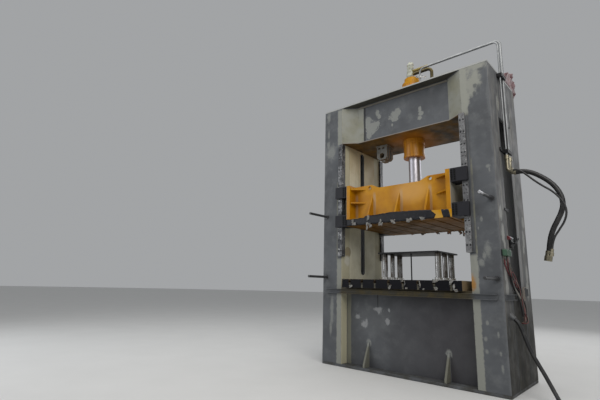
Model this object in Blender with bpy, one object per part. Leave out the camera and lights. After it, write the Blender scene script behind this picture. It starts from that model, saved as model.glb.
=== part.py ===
# Four-sided frame hydraulic press: welded frame, guided slide, top cylinder.
# Metres, +Z up, +X right, -Y is the operator's side.
# The origin is on the floor, at the centre of the base plate.

from math import cos, pi, radians, sin

import bmesh
import bpy
from mathutils import Matrix, Vector

# Clearances and workshop values
FIT = 0.0003
RUNNING_FIT = 0.0005
BITE = 0.005
OVERRUN = 0.02
EDGE = 0.004

# Welded frame
FRAME_WIDTH = 2.80
FRAME_DEPTH = 1.24
COLUMN_WIDTH = 0.375
WALL = 0.032
BASE_THICKNESS = 0.040
BED_HEIGHT = 1.20
BED_TOP_THICKNESS = 0.050
THROAT_HEIGHT = 2.29
CROWN_HEIGHT = 0.655
TOP_THICKNESS = 0.025
PANEL_RECESS = 0.155
CHEEK_RUN = 0.235
FLANGE_RETURN = 0.22
LEDGE_DROP = 0.016
LEDGE_HEIGHT = 0.022
LEDGE_DEPTH = 0.018

# Window in each column's outer side, and slot in its inner side
WINDOW_WIDTH = 0.54
WINDOW_HEIGHT = 2.375
SLOT_WIDTH = 0.12
SLOT_RISE = 0.08
SLOT_LENGTH = 2.18

# Foot gussets on the bed panels
FOOT_GUSSET_PLACE = 0.62
FOOT_GUSSET_HEIGHT = 0.36
FOOT_GUSSET_DEPTH = 0.145
FOOT_GUSSET_THICKNESS = 0.030

# Channels that carry wiring along the bed
CHANNEL_HEIGHT = 0.070
CHANNEL_DEPTH = 0.040
CHANNEL_WALL = 0.007
CHANNEL_DROP = 0.025
FRONT_CHANNEL_MARGIN = 0.075
SIDE_CHANNEL_LENGTH = 0.387
SIDE_CHANNEL_SETBACK = 0.013

# Bolster and slide T-slots
BOLSTER_MARGIN = 0.085
BOLSTER_DEPTH = 1.44
BOLSTER_THICKNESS = 0.13
TSLOT_PITCH = 0.2275
TSLOT_EDGE = 0.060
TSLOT_NECK = 0.028
TSLOT_NECK_DEPTH = 0.030
TSLOT_HEAD = 0.050
TSLOT_HEAD_DEPTH = 0.022

# Guide rails and the pads that they are bolted to
RAIL_RISE = 0.36
RAIL_TOP_GAP = 0.02
RAIL_OVERHANG = 0.033
RAIL_FACE_WIDTH = 0.079
RAIL_FACE_THICKNESS = 0.028
RAIL_SIDE_LEG = 0.054
PAD_WIDTH = 0.075
PAD_THICKNESS = 0.012
RAIL_HOLE_RADIUS = 0.0085
RAIL_HOLE_DEPTH = 0.012
RAIL_HOLE_SPREAD = 0.034
RAIL_HOLE_PITCH = 0.172
RAIL_HOLE_START = 0.097
RAIL_JOINT_WIDTH = 0.003
RAIL_JOINT_DEPTH = 0.003

# Slide
DAYLIGHT = 0.83
SLIDE_PLATE_THICKNESS = 0.115
SLIDE_END_HEIGHT = 0.550
SLIDE_END_THICKNESS = 0.065
SLIDE_PANEL_RECESS = 0.155
SLIDE_PANEL_THICKNESS = 0.030
SLIDE_DECK_HEIGHT = 0.385
PANEL_MIDDLE_HEIGHT = 0.485
PANEL_SHOULDER_HEIGHT = 0.545
LUG_TOWER_WIDTH = 0.322
LUG_TOWER_SLOPE = 0.129
LUG_HOLE_RADIUS = 0.024
LUG_HOLE_DROP = 0.021
LUG_HOLE_INSET = 0.037
SLIDE_GUSSET_PITCH = 0.47
SLIDE_GUSSET_HEIGHT = 0.355
SLIDE_GUSSET_DEPTH = 0.135
SLIDE_GUSSET_THICKNESS = 0.030
SLIDE_RIB_REACH = 0.205
SLIDE_RIB_THICKNESS = 0.025
SLIDE_RIB_HEIGHTS = (0.265, 0.490)

# Guide shoes
SHOE_HEIGHT = 0.19
SHOE_FACE_THICKNESS = 0.0592
SHOE_SIDE_THICKNESS = 0.1345
SHOE_SIDE_DEPTH = 0.22
SHOE_LIP = 0.012

# Main cylinder
BARREL_RADIUS = 0.165
BORE_RADIUS = 0.125
BARREL_DROP = 0.265
BARREL_RISE = 0.30
BARREL_FLANGE_RADIUS = 0.172
BARREL_FLANGE_THICKNESS = 0.070
LOCK_NUT_RADIUS = 0.21
LOCK_NUT_THICKNESS = 0.070
GLAND_RADIUS = 0.172
GLAND_THICKNESS = 0.045
CAP_RADIUS = 0.124
CAP_HEIGHT = 0.13
CAP_FLANGE_THICKNESS = 0.040
ROD_RADIUS = 0.095
ROD_FLANGE_RADIUS = 0.16
ROD_FLANGE_THICKNESS = 0.040
ROD_LENGTH = 1.29
PISTON_THICKNESS = 0.10

# Port block on the cap and the pipes
PORT_BLOCK_RADIUS = 0.045
PORT_BLOCK_HEIGHT = 0.235
PORT_BLOCK_CROWN = 0.020
PORT_BLOCK_SETBACK = 0.060
PIPE_REACH = 0.040
PRESSURE_PIPE_RADIUS = 0.020
PRESSURE_PIPE_RISE = 0.120
RETURN_PIPE_RADIUS = 0.0125
RETURN_PIPE_PLACE = 0.238
RETURN_PIPE_SETBACK = 0.190
RETURN_PIPE_RISE = 0.47
SUCTION_PIPE_RADIUS = 0.026
SUCTION_PIPE_RISE = 0.060
SUCTION_PIPE_REACH = 0.34
PIPE_BEND_RADIUS = 0.075
PIPE_FOOT = 3.03

# Clamps that hold the pipes on the right column
CLAMP_THICKNESS = 0.050
CLAMP_MARGIN = 0.032
CLAMP_STRAP_LENGTH = 0.13
CLAMP_STRAP_THICKNESS = 0.018
UPPER_CLAMP_DROP = 0.050
LOWER_CLAMP_LIFT = 0.030

# Elbow fittings at the pipes' feet
NUT_RADIUS = 0.034
NUT_LENGTH = 0.055
ELBOW_NECK_RADIUS = 0.024
ELBOW_DROP = 0.220
ELBOW_BEND_RADIUS = 0.036
ELBOW_REACH = 0.070

# Hoses, hanging free from the elbows
PRESSURE_HOSE_RADIUS = 0.032
RETURN_HOSE_RADIUS = 0.0125
HOSE_END_MARGIN = 0.008
HOSE_NUT_MARGIN = 0.014
PRESSURE_HOSE_END_LENGTH = 0.13
RETURN_HOSE_END_LENGTH = 0.09

# Lock housing under the crown
LOCK_WIDTH = 0.198
LOCK_DEPTH = 0.205
LOCK_HEIGHT = 0.25
LOCK_PLACE_X = -0.536
LOCK_PLACE_Y = -0.025
LOCK_BORE_RADIUS = 0.046
LOCK_BORE_DEPTH = 0.14
LOCK_BORE_DROP = 0.182
LOCK_FLANGE_THICKNESS = 0.022
LOCK_FLANGE_MARGIN = 0.010
LOCK_POCKET_PLACES = (-0.050, 0.028)
LOCK_POCKET_WIDTH = 0.045
LOCK_POCKET_HEIGHT = 0.026
LOCK_POCKET_DROP = 0.034
LOCK_POCKET_DEPTH = 0.035
LOCK_CHAMFER = 0.035
LOCK_GROOVES = ((0.030, 0.035), (0.100, 0.048))
LOCK_GROOVE_DEPTH = 0.045
LOCK_FOOT_WIDTH = 0.075
LOCK_FOOT_DEPTH = 0.110
LOCK_FOOT_HEIGHT = 0.030

# Round bars that stand out of the columns' front faces
BAR_RADIUS = 0.020
BAR_LENGTH = 0.45
BAR_FOOT_RADIUS = 0.036
BAR_FOOT_THICKNESS = 0.016
BAR_INSET = 0.065
BAR_HEIGHTS = (1.36, 2.37)

# Electrical box and the conduit's outlet on the right column
BOX_WIDTH = 0.195
BOX_DEPTH = 0.065
BOX_HEIGHT = 0.080
BOX_BOTTOM = 1.640
BOX_SETBACK = 0.008
CONDUIT_RADIUS = 0.0225
OUTLET_RADIUS = 0.032
OUTLET_LENGTH = 0.060
OUTLET_ROOT = 0.040
OUTLET_TILT = radians(135)
OUTLET_PLACE_Y = -0.430
OUTLET_DROP = 0.18
CONDUIT_END_LENGTH = 0.08

# Stop valve in the right column's window
VALVE_HEIGHT = 1.83
VALVE_RADIUS = 0.045
VALVE_LENGTH = 0.115
VALVE_BRACKET_LENGTH = 0.045
VALVE_BRACKET_HEIGHT = 0.06
STEM_RADIUS = 0.011
LEVER_LENGTH = 0.20
LEVER_WIDTH = 0.024
LEVER_THICKNESS = 0.008
LEVER_HUB_RADIUS = 0.020
LEVER_TILT = radians(24)

# Stand on the bolster
STAND_WIDTH = 0.99
STAND_DEPTH = 0.74
STAND_HEIGHT = 0.43
STAND_PLATE_THICKNESS = 0.022
STAND_SHIFT = -0.037
STAND_SETBACK = 0.060
STAND_POST_PLACE = 0.4425
STAND_POST_PITCH = 0.24
STAND_POST_RADII = (0.044, 0.036, 0.044)
STAND_SHOE_WIDTH = 0.15
STAND_SHOE_DEPTH = 0.62
STAND_SHOE_THICKNESS = 0.020
STAND_COLLAR_RADIUS = 0.058
STAND_COLLAR_HEIGHT = 0.030
STAND_ROD_RADIUS = 0.010
STAND_ROD_SETBACK = 0.15

# Cable from the electrical box into the side channel
BOX_CABLE_RADIUS = 0.012
CABLE_SPACING = 1.25

# Facets, and a cord's points in diameters
POINT_SPACING = 2.5
ROUND_STEPS = 40
SMALL_STEPS = 20
BEND_STEPS = 6
PEG_STEPS = 6

# Places that follow from the sizes
HALF_WIDTH = FRAME_WIDTH / 2
HALF_DEPTH = FRAME_DEPTH / 2
COLUMN_INNER = HALF_WIDTH - COLUMN_WIDTH
PANEL_FACE = HALF_DEPTH - PANEL_RECESS
BOLSTER_TOP = BED_HEIGHT + BOLSTER_THICKNESS
OUTLET_HEIGHT = BED_HEIGHT - CHANNEL_DROP - CHANNEL_HEIGHT - OUTLET_DROP
CROWN_UNDERSIDE = BOLSTER_TOP + THROAT_HEIGHT
CROWN_TOP = CROWN_UNDERSIDE + CROWN_HEIGHT
FRAME_TOP = CROWN_TOP + TOP_THICKNESS
WINDOW_HALF = WINDOW_WIDTH / 2
WINDOW_TOP = BED_HEIGHT + WINDOW_HEIGHT
RAIL_INNER = COLUMN_INNER - RAIL_OVERHANG
RAIL_OUTER = RAIL_INNER + RAIL_FACE_WIDTH
RAIL_BACK = HALF_DEPTH + PAD_THICKNESS + FIT
RAIL_FRONT = RAIL_BACK + RAIL_FACE_THICKNESS
RAIL_BOTTOM = BOLSTER_TOP + RAIL_RISE
RAIL_TOP = CROWN_UNDERSIDE - RAIL_TOP_GAP
RAIL_HOLE_ROWS = int((RAIL_TOP - RAIL_HOLE_START - RAIL_BOTTOM) / RAIL_HOLE_PITCH) + 1
SLIDE_UNDERSIDE = BOLSTER_TOP + DAYLIGHT
SLIDE_FLOOR = SLIDE_UNDERSIDE + SLIDE_PLATE_THICKNESS + FIT
SLIDE_DECK = SLIDE_FLOOR + SLIDE_DECK_HEIGHT
SLIDE_TOP = SLIDE_FLOOR + SLIDE_END_HEIGHT
SLIDE_END = RAIL_INNER - RUNNING_FIT - SHOE_SIDE_THICKNESS
SLIDE_WIDTH = 2 * SLIDE_END
SLIDE_DEPTH = 2 * (RAIL_FRONT + RUNNING_FIT + SHOE_FACE_THICKNESS)
SLIDE_END_INNER = SLIDE_END - SLIDE_END_THICKNESS
SLIDE_PANEL_FACE = SLIDE_DEPTH / 2 - SLIDE_PANEL_RECESS
LUG_TOWER_FOOT = SLIDE_END_INNER - LUG_TOWER_WIDTH
TSLOT_COUNT = int((SLIDE_WIDTH - 2 * TSLOT_EDGE) / TSLOT_PITCH) + 1
BOLSTER_WIDTH = 2 * (COLUMN_INNER - BOLSTER_MARGIN)
BARREL_BOTTOM = CROWN_UNDERSIDE - BARREL_DROP
BARREL_TOP = FRAME_TOP + BARREL_RISE
CAP_TOP = BARREL_TOP + FIT + CAP_HEIGHT
PIPE_LINE = HALF_WIDTH + PIPE_REACH
BAR_PLACE = HALF_WIDTH - BAR_INSET
STAND_TOP = BOLSTER_TOP + STAND_HEIGHT


def rgb(red, green, blue):
    return (red, green, blue, 1.0)


# Finish: colour, roughness, metallic
FINISHES = {
    "primer_grey": (rgb(0.16, 0.18, 0.21), 0.65, 0.0),
    "primer_cream": (rgb(0.46, 0.45, 0.36), 0.70, 0.0),
    "enamel_yellow": (rgb(0.78, 0.42, 0.03), 0.35, 0.0),
    "shoe_black": (rgb(0.02, 0.02, 0.022), 0.50, 0.0),
    "plate_steel": (rgb(0.22, 0.15, 0.10), 0.45, 0.8),
    "rail_steel": (rgb(0.40, 0.39, 0.37), 0.45, 0.8),
    "chrome": (rgb(0.80, 0.80, 0.82), 0.10, 1.0),
    "pipe_steel": (rgb(0.62, 0.63, 0.63), 0.30, 0.9),
    "brass": (rgb(0.60, 0.48, 0.25), 0.35, 0.9),
    "hose_black": (rgb(0.015, 0.015, 0.016), 0.60, 0.0),
    "box_green": (rgb(0.10, 0.22, 0.14), 0.45, 0.0),
    "stand_steel": (rgb(0.50, 0.50, 0.50), 0.35, 0.9),
    "stand_dark": (rgb(0.03, 0.03, 0.035), 0.50, 0.2),
}


def clear_scene():
    for item in list(bpy.data.objects):
        bpy.data.objects.remove(item, do_unlink=True)


def finish_for(name, finish):
    colour, roughness, metallic = FINISHES[finish]
    material = bpy.data.materials.new(name + "_finish")
    material.use_nodes = True
    shader = material.node_tree.nodes["Principled BSDF"]
    shader.inputs["Base Color"].default_value = colour
    shader.inputs["Roughness"].default_value = roughness
    shader.inputs["Metallic"].default_value = metallic
    return material


def add_object(name, data, finish):
    item = bpy.data.objects.new(name, data)
    bpy.context.scene.collection.objects.link(item)
    if finish:
        item.data.materials.append(finish_for(name, finish))
    return item


def mesh_from(name, builder):
    shape = bmesh.new()
    builder(shape)
    bmesh.ops.recalc_face_normals(shape, faces=shape.faces)
    mesh = bpy.data.meshes.new(name)
    shape.to_mesh(mesh)
    shape.free()
    return mesh


# A closed outline pushed from one height to another along an axis.
# The outline holds (x, y) along Z, (x, z) along Y and (y, z) along X.
def prism(name, outline, start, end, axis="Z", finish=None):
    def point(first, second, along):
        if axis == "Z":
            return (first, second, along)
        if axis == "Y":
            return (first, along, second)
        return (along, first, second)

    def build(shape):
        low = [shape.verts.new(point(u, v, start)) for u, v in outline]
        high = [shape.verts.new(point(u, v, end)) for u, v in outline]
        shape.faces.new(low)
        shape.faces.new(high)
        for index in range(len(outline)):
            following = (index + 1) % len(outline)
            shape.faces.new((low[index], low[following], high[following], high[index]))

    return add_object(name, mesh_from(name, build), finish)


def block(name, low, high, finish=None):
    outline = [(low[0], low[1]), (high[0], low[1]), (high[0], high[1]), (low[0], high[1])]
    return prism(name, outline, low[2], high[2], "Z", finish)


# A profile of (radius, height) points turned about an axis through the centre.
# A ring profile is a closed loop; any other runs from the axis to the axis.
def turned(name, profile, centre, axis="Z", finish=None, steps=ROUND_STEPS, ring=False):
    def build(shape):
        rows = []
        for radius, height in profile:
            if radius == 0:
                rows.append([shape.verts.new((0, 0, height))])
                continue
            turns = [2 * pi * step / steps for step in range(steps)]
            rows.append([shape.verts.new((radius * cos(a), radius * sin(a), height)) for a in turns])
        pairs = list(zip(rows, rows[1:]))
        if ring:
            pairs.append((rows[-1], rows[0]))
        for lower, upper in pairs:
            for step in range(steps):
                following = (step + 1) % steps
                corners = [lower[step % len(lower)], lower[following % len(lower)]]
                corners += [upper[following % len(upper)], upper[step % len(upper)]]
                shape.faces.new(list(dict.fromkeys(corners)))

    mesh = mesh_from(name, build)
    mesh.shade_smooth()
    mesh.set_sharp_from_angle(angle=radians(35))
    item = add_object(name, mesh, finish)
    turns = {"Z": Matrix(), "X": Matrix.Rotation(pi / 2, 4, "Y"), "Y": Matrix.Rotation(-pi / 2, 4, "X")}
    item.matrix_world = Matrix.Translation(Vector(centre)) @ turns[axis]
    return item


def rod_profile(radius, start, end):
    return [(0, start), (radius, start), (radius, end), (0, end)]


def ring_profile(inner, outer, start, end):
    return [(inner, start), (outer, start), (outer, end), (inner, end)]


def tube(name, points, radius, finish, resolution=4):
    curve = bpy.data.curves.new(name, "CURVE")
    curve.dimensions = "3D"
    curve.bevel_depth = radius
    curve.bevel_resolution = resolution
    curve.use_fill_caps = True
    spline = curve.splines.new("POLY")
    spline.points.add(len(points) - 1)
    for knot, place in zip(spline.points, points):
        knot.co = (place[0], place[1], place[2], 1.0)
    spline.use_smooth = True
    return add_object(name, curve, finish)


# A round bar swept along a route that lies in a plane across the Y axis.
# Each place on the route has its own radius.
def swept(name, route, radii, finish=None, steps=SMALL_STEPS):
    def build(shape):
        rows = []
        for index, (place, radius) in enumerate(zip(route, radii)):
            before = route[max(index - 1, 0)]
            after = route[min(index + 1, len(route) - 1)]
            heading = (after - before).normalized()
            outward = Vector((0, 1, 0)).cross(heading)
            row = []
            for step in range(steps):
                turn = 2 * pi * step / steps
                offset = outward * radius * cos(turn) + Vector((0, radius * sin(turn), 0))
                row.append(shape.verts.new(place + offset))
            rows.append(row)
        for lower, upper in zip(rows, rows[1:]):
            for step in range(steps):
                following = (step + 1) % steps
                shape.faces.new((lower[step], lower[following], upper[following], upper[step]))
        shape.faces.new(rows[0])
        shape.faces.new(rows[-1])

    mesh = mesh_from(name, build)
    mesh.shade_smooth()
    mesh.set_sharp_from_angle(angle=radians(35))
    return add_object(name, mesh, finish)


def change(body, tool, operation):
    modifier = body.modifiers.new(operation.lower() + "_" + tool.name, "BOOLEAN")
    modifier.operation = operation
    modifier.solver = "EXACT"
    modifier.object = tool
    tool.hide_render = True
    tool.display_type = "WIRE"


def weld(body, tool):
    change(body, tool, "UNION")


def cut(body, tool):
    change(body, tool, "DIFFERENCE")


def soften(item, width=EDGE):
    bevel = item.modifiers.new("edge", "BEVEL")
    bevel.width = width
    bevel.segments = 1
    bevel.limit_method = "ANGLE"
    bevel.angle_limit = radians(40)


def mirrored(outline, side_x, side_y):
    return [(side_x * x, side_y * y) for x, y in outline]


# Corners of a pipe's route, rounded with arcs
def rounded_route(corners, bend_radius):
    corners = [Vector(corner) for corner in corners]
    route = [corners[0]]
    for before, corner, after in zip(corners, corners[1:], corners[2:]):
        inward = (before - corner).normalized()
        outward = (after - corner).normalized()
        middle = corner + (inward + outward) * bend_radius
        for step in range(BEND_STEPS + 1):
            turn = pi / 2 * step / BEND_STEPS
            route.append(middle - outward * bend_radius * cos(turn) - inward * bend_radius * sin(turn))
    route.append(corners[-1])
    return route


# A smooth curve through a cord's own points, sampled evenly after a straight lead
def smooth_route(points, spacing):
    places = [Vector(point) for point in points]
    places.append(places[-1] * 2 - places[-2])
    dense = []
    pieces = 24
    for index in range(1, len(places) - 2):
        p0, p1, p2, p3 = places[index - 1:index + 3]
        for step in range(pieces):
            t = step / pieces
            linear = (p2 - p0) * t
            square = (p0 * 2 - p1 * 5 + p2 * 4 - p3) * t ** 2
            cube = (p1 * 3 - p0 - p2 * 3 + p3) * t ** 3
            dense.append((p1 * 2 + linear + square + cube) / 2)
    dense.append(places[-2])
    lengths = [0]
    for here, there in zip(dense, dense[1:]):
        lengths.append(lengths[-1] + (there - here).length)
    count = max(2, round(lengths[-1] / spacing))
    route = [places[0]]
    for step in range(count + 1):
        target = lengths[-1] * step / count
        index = next((i for i, length in enumerate(lengths) if length >= target), len(dense) - 1)
        if index == 0:
            route.append(dense[0])
            continue
        share = (target - lengths[index - 1]) / (lengths[index] - lengths[index - 1])
        route.append(dense[index - 1].lerp(dense[index], share))
    return route


def make_base_plate():
    low = (-HALF_WIDTH, -HALF_DEPTH, 0)
    soften(block("base_plate", low, (HALF_WIDTH, HALF_DEPTH, BASE_THICKNESS), "primer_grey"))


def make_column(side, label):
    floor = BASE_THICKNESS + FIT
    ceiling = CROWN_TOP - FIT
    inner_wall = COLUMN_INNER + WALL
    outer_wall = HALF_WIDTH - WALL
    for end, place in ((-1, "front"), (1, "rear")):
        outline = [
            (COLUMN_INNER, HALF_DEPTH),
            (HALF_WIDTH, HALF_DEPTH),
            (HALF_WIDTH, WINDOW_HALF),
            (outer_wall, WINDOW_HALF),
            (outer_wall, HALF_DEPTH - WALL),
            (inner_wall, HALF_DEPTH - WALL),
            (inner_wall, HALF_DEPTH - FLANGE_RETURN),
            (COLUMN_INNER, HALF_DEPTH - FLANGE_RETURN),
        ]
        name = "column_" + label + "_" + place
        post = prism(name, mirrored(outline, side, end), floor, ceiling, "Z", "primer_grey")
        pad_outline = [
            (COLUMN_INNER, HALF_DEPTH - BITE),
            (COLUMN_INNER + PAD_WIDTH, HALF_DEPTH - BITE),
            (COLUMN_INNER + PAD_WIDTH, HALF_DEPTH + PAD_THICKNESS),
            (COLUMN_INNER, HALF_DEPTH + PAD_THICKNESS),
        ]
        weld(post, prism(name + "_pad", mirrored(pad_outline, side, end), RAIL_BOTTOM, RAIL_TOP))
        if side > 0 and end < 0:
            add_conduit_outlet(post)
    make_column_web(side, label, floor, ceiling)
    for name, low, high in (
        ("upper", WINDOW_TOP, ceiling),
        ("lower", floor, BED_HEIGHT),
    ):
        across = sorted((side * outer_wall, side * HALF_WIDTH))
        corner_low = (across[0], -WINDOW_HALF + FIT, low)
        corner_high = (across[1], WINDOW_HALF - FIT, high)
        block("column_" + label + "_" + name + "_cover", corner_low, corner_high, "primer_grey")


def make_column_web(side, label, floor, ceiling):
    across = sorted((side * COLUMN_INNER, side * (COLUMN_INNER + WALL)))
    half = HALF_DEPTH - FLANGE_RETURN - FIT
    name = "column_" + label + "_web"
    web = block(name, (across[0], -half, floor), (across[1], half, ceiling), "primer_cream")
    radius = SLOT_WIDTH / 2
    low = BOLSTER_TOP + SLOT_RISE + radius
    high = BOLSTER_TOP + SLOT_RISE + SLOT_LENGTH - radius
    outline = []
    for centre, start in ((high, 0), (low, pi)):
        for step in range(BEND_STEPS * 2 + 1):
            turn = start + pi * step / (BEND_STEPS * 2)
            outline.append((radius * cos(turn), centre + radius * sin(turn)))
    slot = prism(name + "_slot", outline, across[0] - OVERRUN, across[1] + OVERRUN, "X")
    cut(web, slot)


def add_conduit_outlet(post):
    profile = rod_profile(OUTLET_RADIUS, -OUTLET_ROOT, OUTLET_LENGTH)
    outlet = turned("conduit_outlet", profile, (0, 0, 0), steps=SMALL_STEPS)
    place = Matrix.Translation((HALF_WIDTH, OUTLET_PLACE_Y, OUTLET_HEIGHT))
    outlet.matrix_world = place @ Matrix.Rotation(OUTLET_TILT, 4, "Y")
    weld(post, outlet)


def make_bed():
    reach = COLUMN_INNER - FIT
    low = BASE_THICKNESS + FIT
    bed = block("bed", (-reach, -PANEL_FACE, low), (reach, PANEL_FACE, BED_HEIGHT), "primer_grey")
    table_low = (-reach, -HALF_DEPTH, BED_HEIGHT - BED_TOP_THICKNESS)
    weld(bed, block("bed_table", table_low, (reach, HALF_DEPTH, BED_HEIGHT)))
    half = FOOT_GUSSET_THICKNESS / 2
    for end in (-1, 1):
        for side in (-1, 1):
            outline = [
                (end * (PANEL_FACE - BITE), low),
                (end * (PANEL_FACE + FOOT_GUSSET_DEPTH), low),
                (end * (PANEL_FACE + FOOT_GUSSET_DEPTH), low + BASE_THICKNESS),
                (end * PANEL_FACE, low + FOOT_GUSSET_HEIGHT),
                (end * (PANEL_FACE - BITE), low + FOOT_GUSSET_HEIGHT),
            ]
            middle = side * FOOT_GUSSET_PLACE
            name = "foot_gusset_" + str(side) + str(end)
            weld(bed, prism(name, outline, middle - half, middle + half, "X"))


def make_crown():
    reach = COLUMN_INNER - FIT
    step = COLUMN_INNER - CHEEK_RUN
    outline = [
        (-reach, -HALF_DEPTH),
        (-step, -PANEL_FACE),
        (step, -PANEL_FACE),
        (reach, -HALF_DEPTH),
        (reach, HALF_DEPTH),
        (step, PANEL_FACE),
        (-step, PANEL_FACE),
        (-reach, HALF_DEPTH),
    ]
    crown = prism("crown", outline, CROWN_UNDERSIDE, CROWN_TOP - FIT, "Z", "primer_grey")
    profile = rod_profile(BARREL_RADIUS + FIT, CROWN_UNDERSIDE - OVERRUN, FRAME_TOP + OVERRUN)
    bore = turned("crown_bore", profile, (0, 0, 0))
    cut(crown, bore)
    ledge_top = CROWN_TOP - FIT - LEDGE_DROP
    for end in (-1, 1):
        across = sorted((end * (PANEL_FACE - BITE), end * (PANEL_FACE + LEDGE_DEPTH)))
        low = (-step, across[0], ledge_top - LEDGE_HEIGHT)
        weld(crown, block("crown_ledge_" + str(end), low, (step, across[1], ledge_top)))
    low = (-HALF_WIDTH, -HALF_DEPTH, CROWN_TOP)
    top = block("top_plate", low, (HALF_WIDTH, HALF_DEPTH, FRAME_TOP), "primer_grey")
    cut(top, bore)


def channel_outline(face, top, direction):
    low = top - CHANNEL_HEIGHT
    lip = face + direction * CHANNEL_DEPTH
    web = face + direction * CHANNEL_WALL
    return [
        (face, low),
        (lip, low),
        (lip, low + CHANNEL_WALL),
        (web, low + CHANNEL_WALL),
        (web, top - CHANNEL_WALL),
        (lip, top - CHANNEL_WALL),
        (lip, top),
        (face, top),
    ]


def make_channels():
    top = BED_HEIGHT - CHANNEL_DROP
    half = HALF_WIDTH - FRONT_CHANNEL_MARGIN
    prism("front_channel", channel_outline(-HALF_DEPTH - FIT, top, -1), -half, half, "X", "primer_grey")
    start = -HALF_DEPTH + SIDE_CHANNEL_SETBACK
    end = start + SIDE_CHANNEL_LENGTH
    prism("side_channel", channel_outline(HALF_WIDTH + FIT, top, 1), start, end, "Y", "primer_grey")


# Outline of a plate with T-slots in its upper edge; a negative height turns it over
def tslot_outline(width, thickness, base, direction):
    outline = [(-width / 2, base), (width / 2, base)]
    face = base + direction * thickness
    neck = face - direction * TSLOT_NECK_DEPTH
    head = neck - direction * TSLOT_HEAD_DEPTH
    outline.append((width / 2, face))
    for index in reversed(range(TSLOT_COUNT)):
        middle = (index - (TSLOT_COUNT - 1) / 2) * TSLOT_PITCH
        outline += [
            (middle + TSLOT_NECK / 2, face),
            (middle + TSLOT_NECK / 2, neck),
            (middle + TSLOT_HEAD / 2, neck),
            (middle + TSLOT_HEAD / 2, head),
            (middle - TSLOT_HEAD / 2, head),
            (middle - TSLOT_HEAD / 2, neck),
            (middle - TSLOT_NECK / 2, neck),
            (middle - TSLOT_NECK / 2, face),
        ]
    outline.append((-width / 2, face))
    return outline


def make_bolster():
    outline = tslot_outline(BOLSTER_WIDTH, BOLSTER_THICKNESS - FIT, BED_HEIGHT + FIT, 1)
    prism("bolster", outline, -BOLSTER_DEPTH / 2, BOLSTER_DEPTH / 2, "Y", "plate_steel")


def make_rail(side, end, name):
    outline = [
        (RAIL_INNER, RAIL_FRONT),
        (RAIL_OUTER, RAIL_FRONT),
        (RAIL_OUTER, RAIL_BACK),
        (COLUMN_INNER - FIT, RAIL_BACK),
        (COLUMN_INNER - FIT, HALF_DEPTH - RAIL_SIDE_LEG),
        (RAIL_INNER, HALF_DEPTH - RAIL_SIDE_LEG),
    ]
    rail = prism(name, mirrored(outline, side, end), RAIL_BOTTOM, RAIL_TOP, "Z", "rail_steel")
    middle = side * (RAIL_INNER + RAIL_OUTER) / 2
    places = []
    for row in range(RAIL_HOLE_ROWS):
        height = RAIL_TOP - RAIL_HOLE_START - row * RAIL_HOLE_PITCH
        places += [(middle + half * RAIL_HOLE_SPREAD / 2, height) for half in (-1, 1)]
    depths = (end * (RAIL_FRONT - RAIL_HOLE_DEPTH), end * (RAIL_FRONT + OVERRUN))
    cut(rail, pegs(name + "_holes", places, RAIL_HOLE_RADIUS, depths))
    for row in range(1, RAIL_HOLE_ROWS, 2):
        joint = RAIL_TOP - RAIL_HOLE_START - (row - 1 / 2) * RAIL_HOLE_PITCH
        across = sorted((side * (RAIL_INNER - OVERRUN), side * (RAIL_OUTER + OVERRUN)))
        along = sorted((end * (RAIL_FRONT - RAIL_JOINT_DEPTH), end * (RAIL_FRONT + OVERRUN)))
        low = (across[0], along[0], joint)
        groove = block(name + "_joint" + str(row), low, (across[1], along[1], joint + RAIL_JOINT_WIDTH))
        cut(rail, groove)


# Round pegs along the Y axis, as one tool that cuts a pattern of holes
def pegs(name, places, radius, depths):
    def build(shape):
        for x, z in places:
            turns = [2 * pi * step / PEG_STEPS for step in range(PEG_STEPS)]
            rings = []
            for depth in depths:
                rings.append([shape.verts.new((x + radius * cos(a), depth, z + radius * sin(a))) for a in turns])
            for step in range(PEG_STEPS):
                following = (step + 1) % PEG_STEPS
                shape.faces.new((rings[0][step], rings[0][following], rings[1][following], rings[1][step]))
            shape.faces.new(rings[0])
            shape.faces.new(rings[1])

    return add_object(name, mesh_from(name, build), None)


def make_shoe(side, end, bottom, name):
    face = RAIL_FRONT + RUNNING_FIT
    start = SLIDE_END + FIT
    finish = RAIL_INNER - RUNNING_FIT
    outline = [
        (start, face + SHOE_FACE_THICKNESS),
        (RAIL_OUTER + SHOE_LIP, face + SHOE_FACE_THICKNESS),
        (RAIL_OUTER + SHOE_LIP, face),
        (finish, face),
        (finish, face + SHOE_FACE_THICKNESS - SHOE_SIDE_DEPTH),
        (start, face + SHOE_FACE_THICKNESS - SHOE_SIDE_DEPTH),
    ]
    return prism(name, mirrored(outline, side, end), bottom, bottom + SHOE_HEIGHT, "Z", "shoe_black")


def make_slide_plate():
    outline = tslot_outline(SLIDE_WIDTH, SLIDE_PLATE_THICKNESS, SLIDE_FLOOR - FIT, -1)
    return prism("slide_plate", outline, -SLIDE_DEPTH / 2, SLIDE_DEPTH / 2, "Y", "plate_steel")


def panel_outline():
    half = SLIDE_END_INNER + BITE
    middle = SLIDE_FLOOR + PANEL_MIDDLE_HEIGHT
    shoulder = SLIDE_FLOOR + PANEL_SHOULDER_HEIGHT
    return [
        (-half, SLIDE_FLOOR),
        (half, SLIDE_FLOOR),
        (half, shoulder),
        (LUG_TOWER_FOOT, shoulder),
        (LUG_TOWER_FOOT - LUG_TOWER_SLOPE, middle),
        (LUG_TOWER_SLOPE - LUG_TOWER_FOOT, middle),
        (-LUG_TOWER_FOOT, shoulder),
        (-half, shoulder),
    ]


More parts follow.
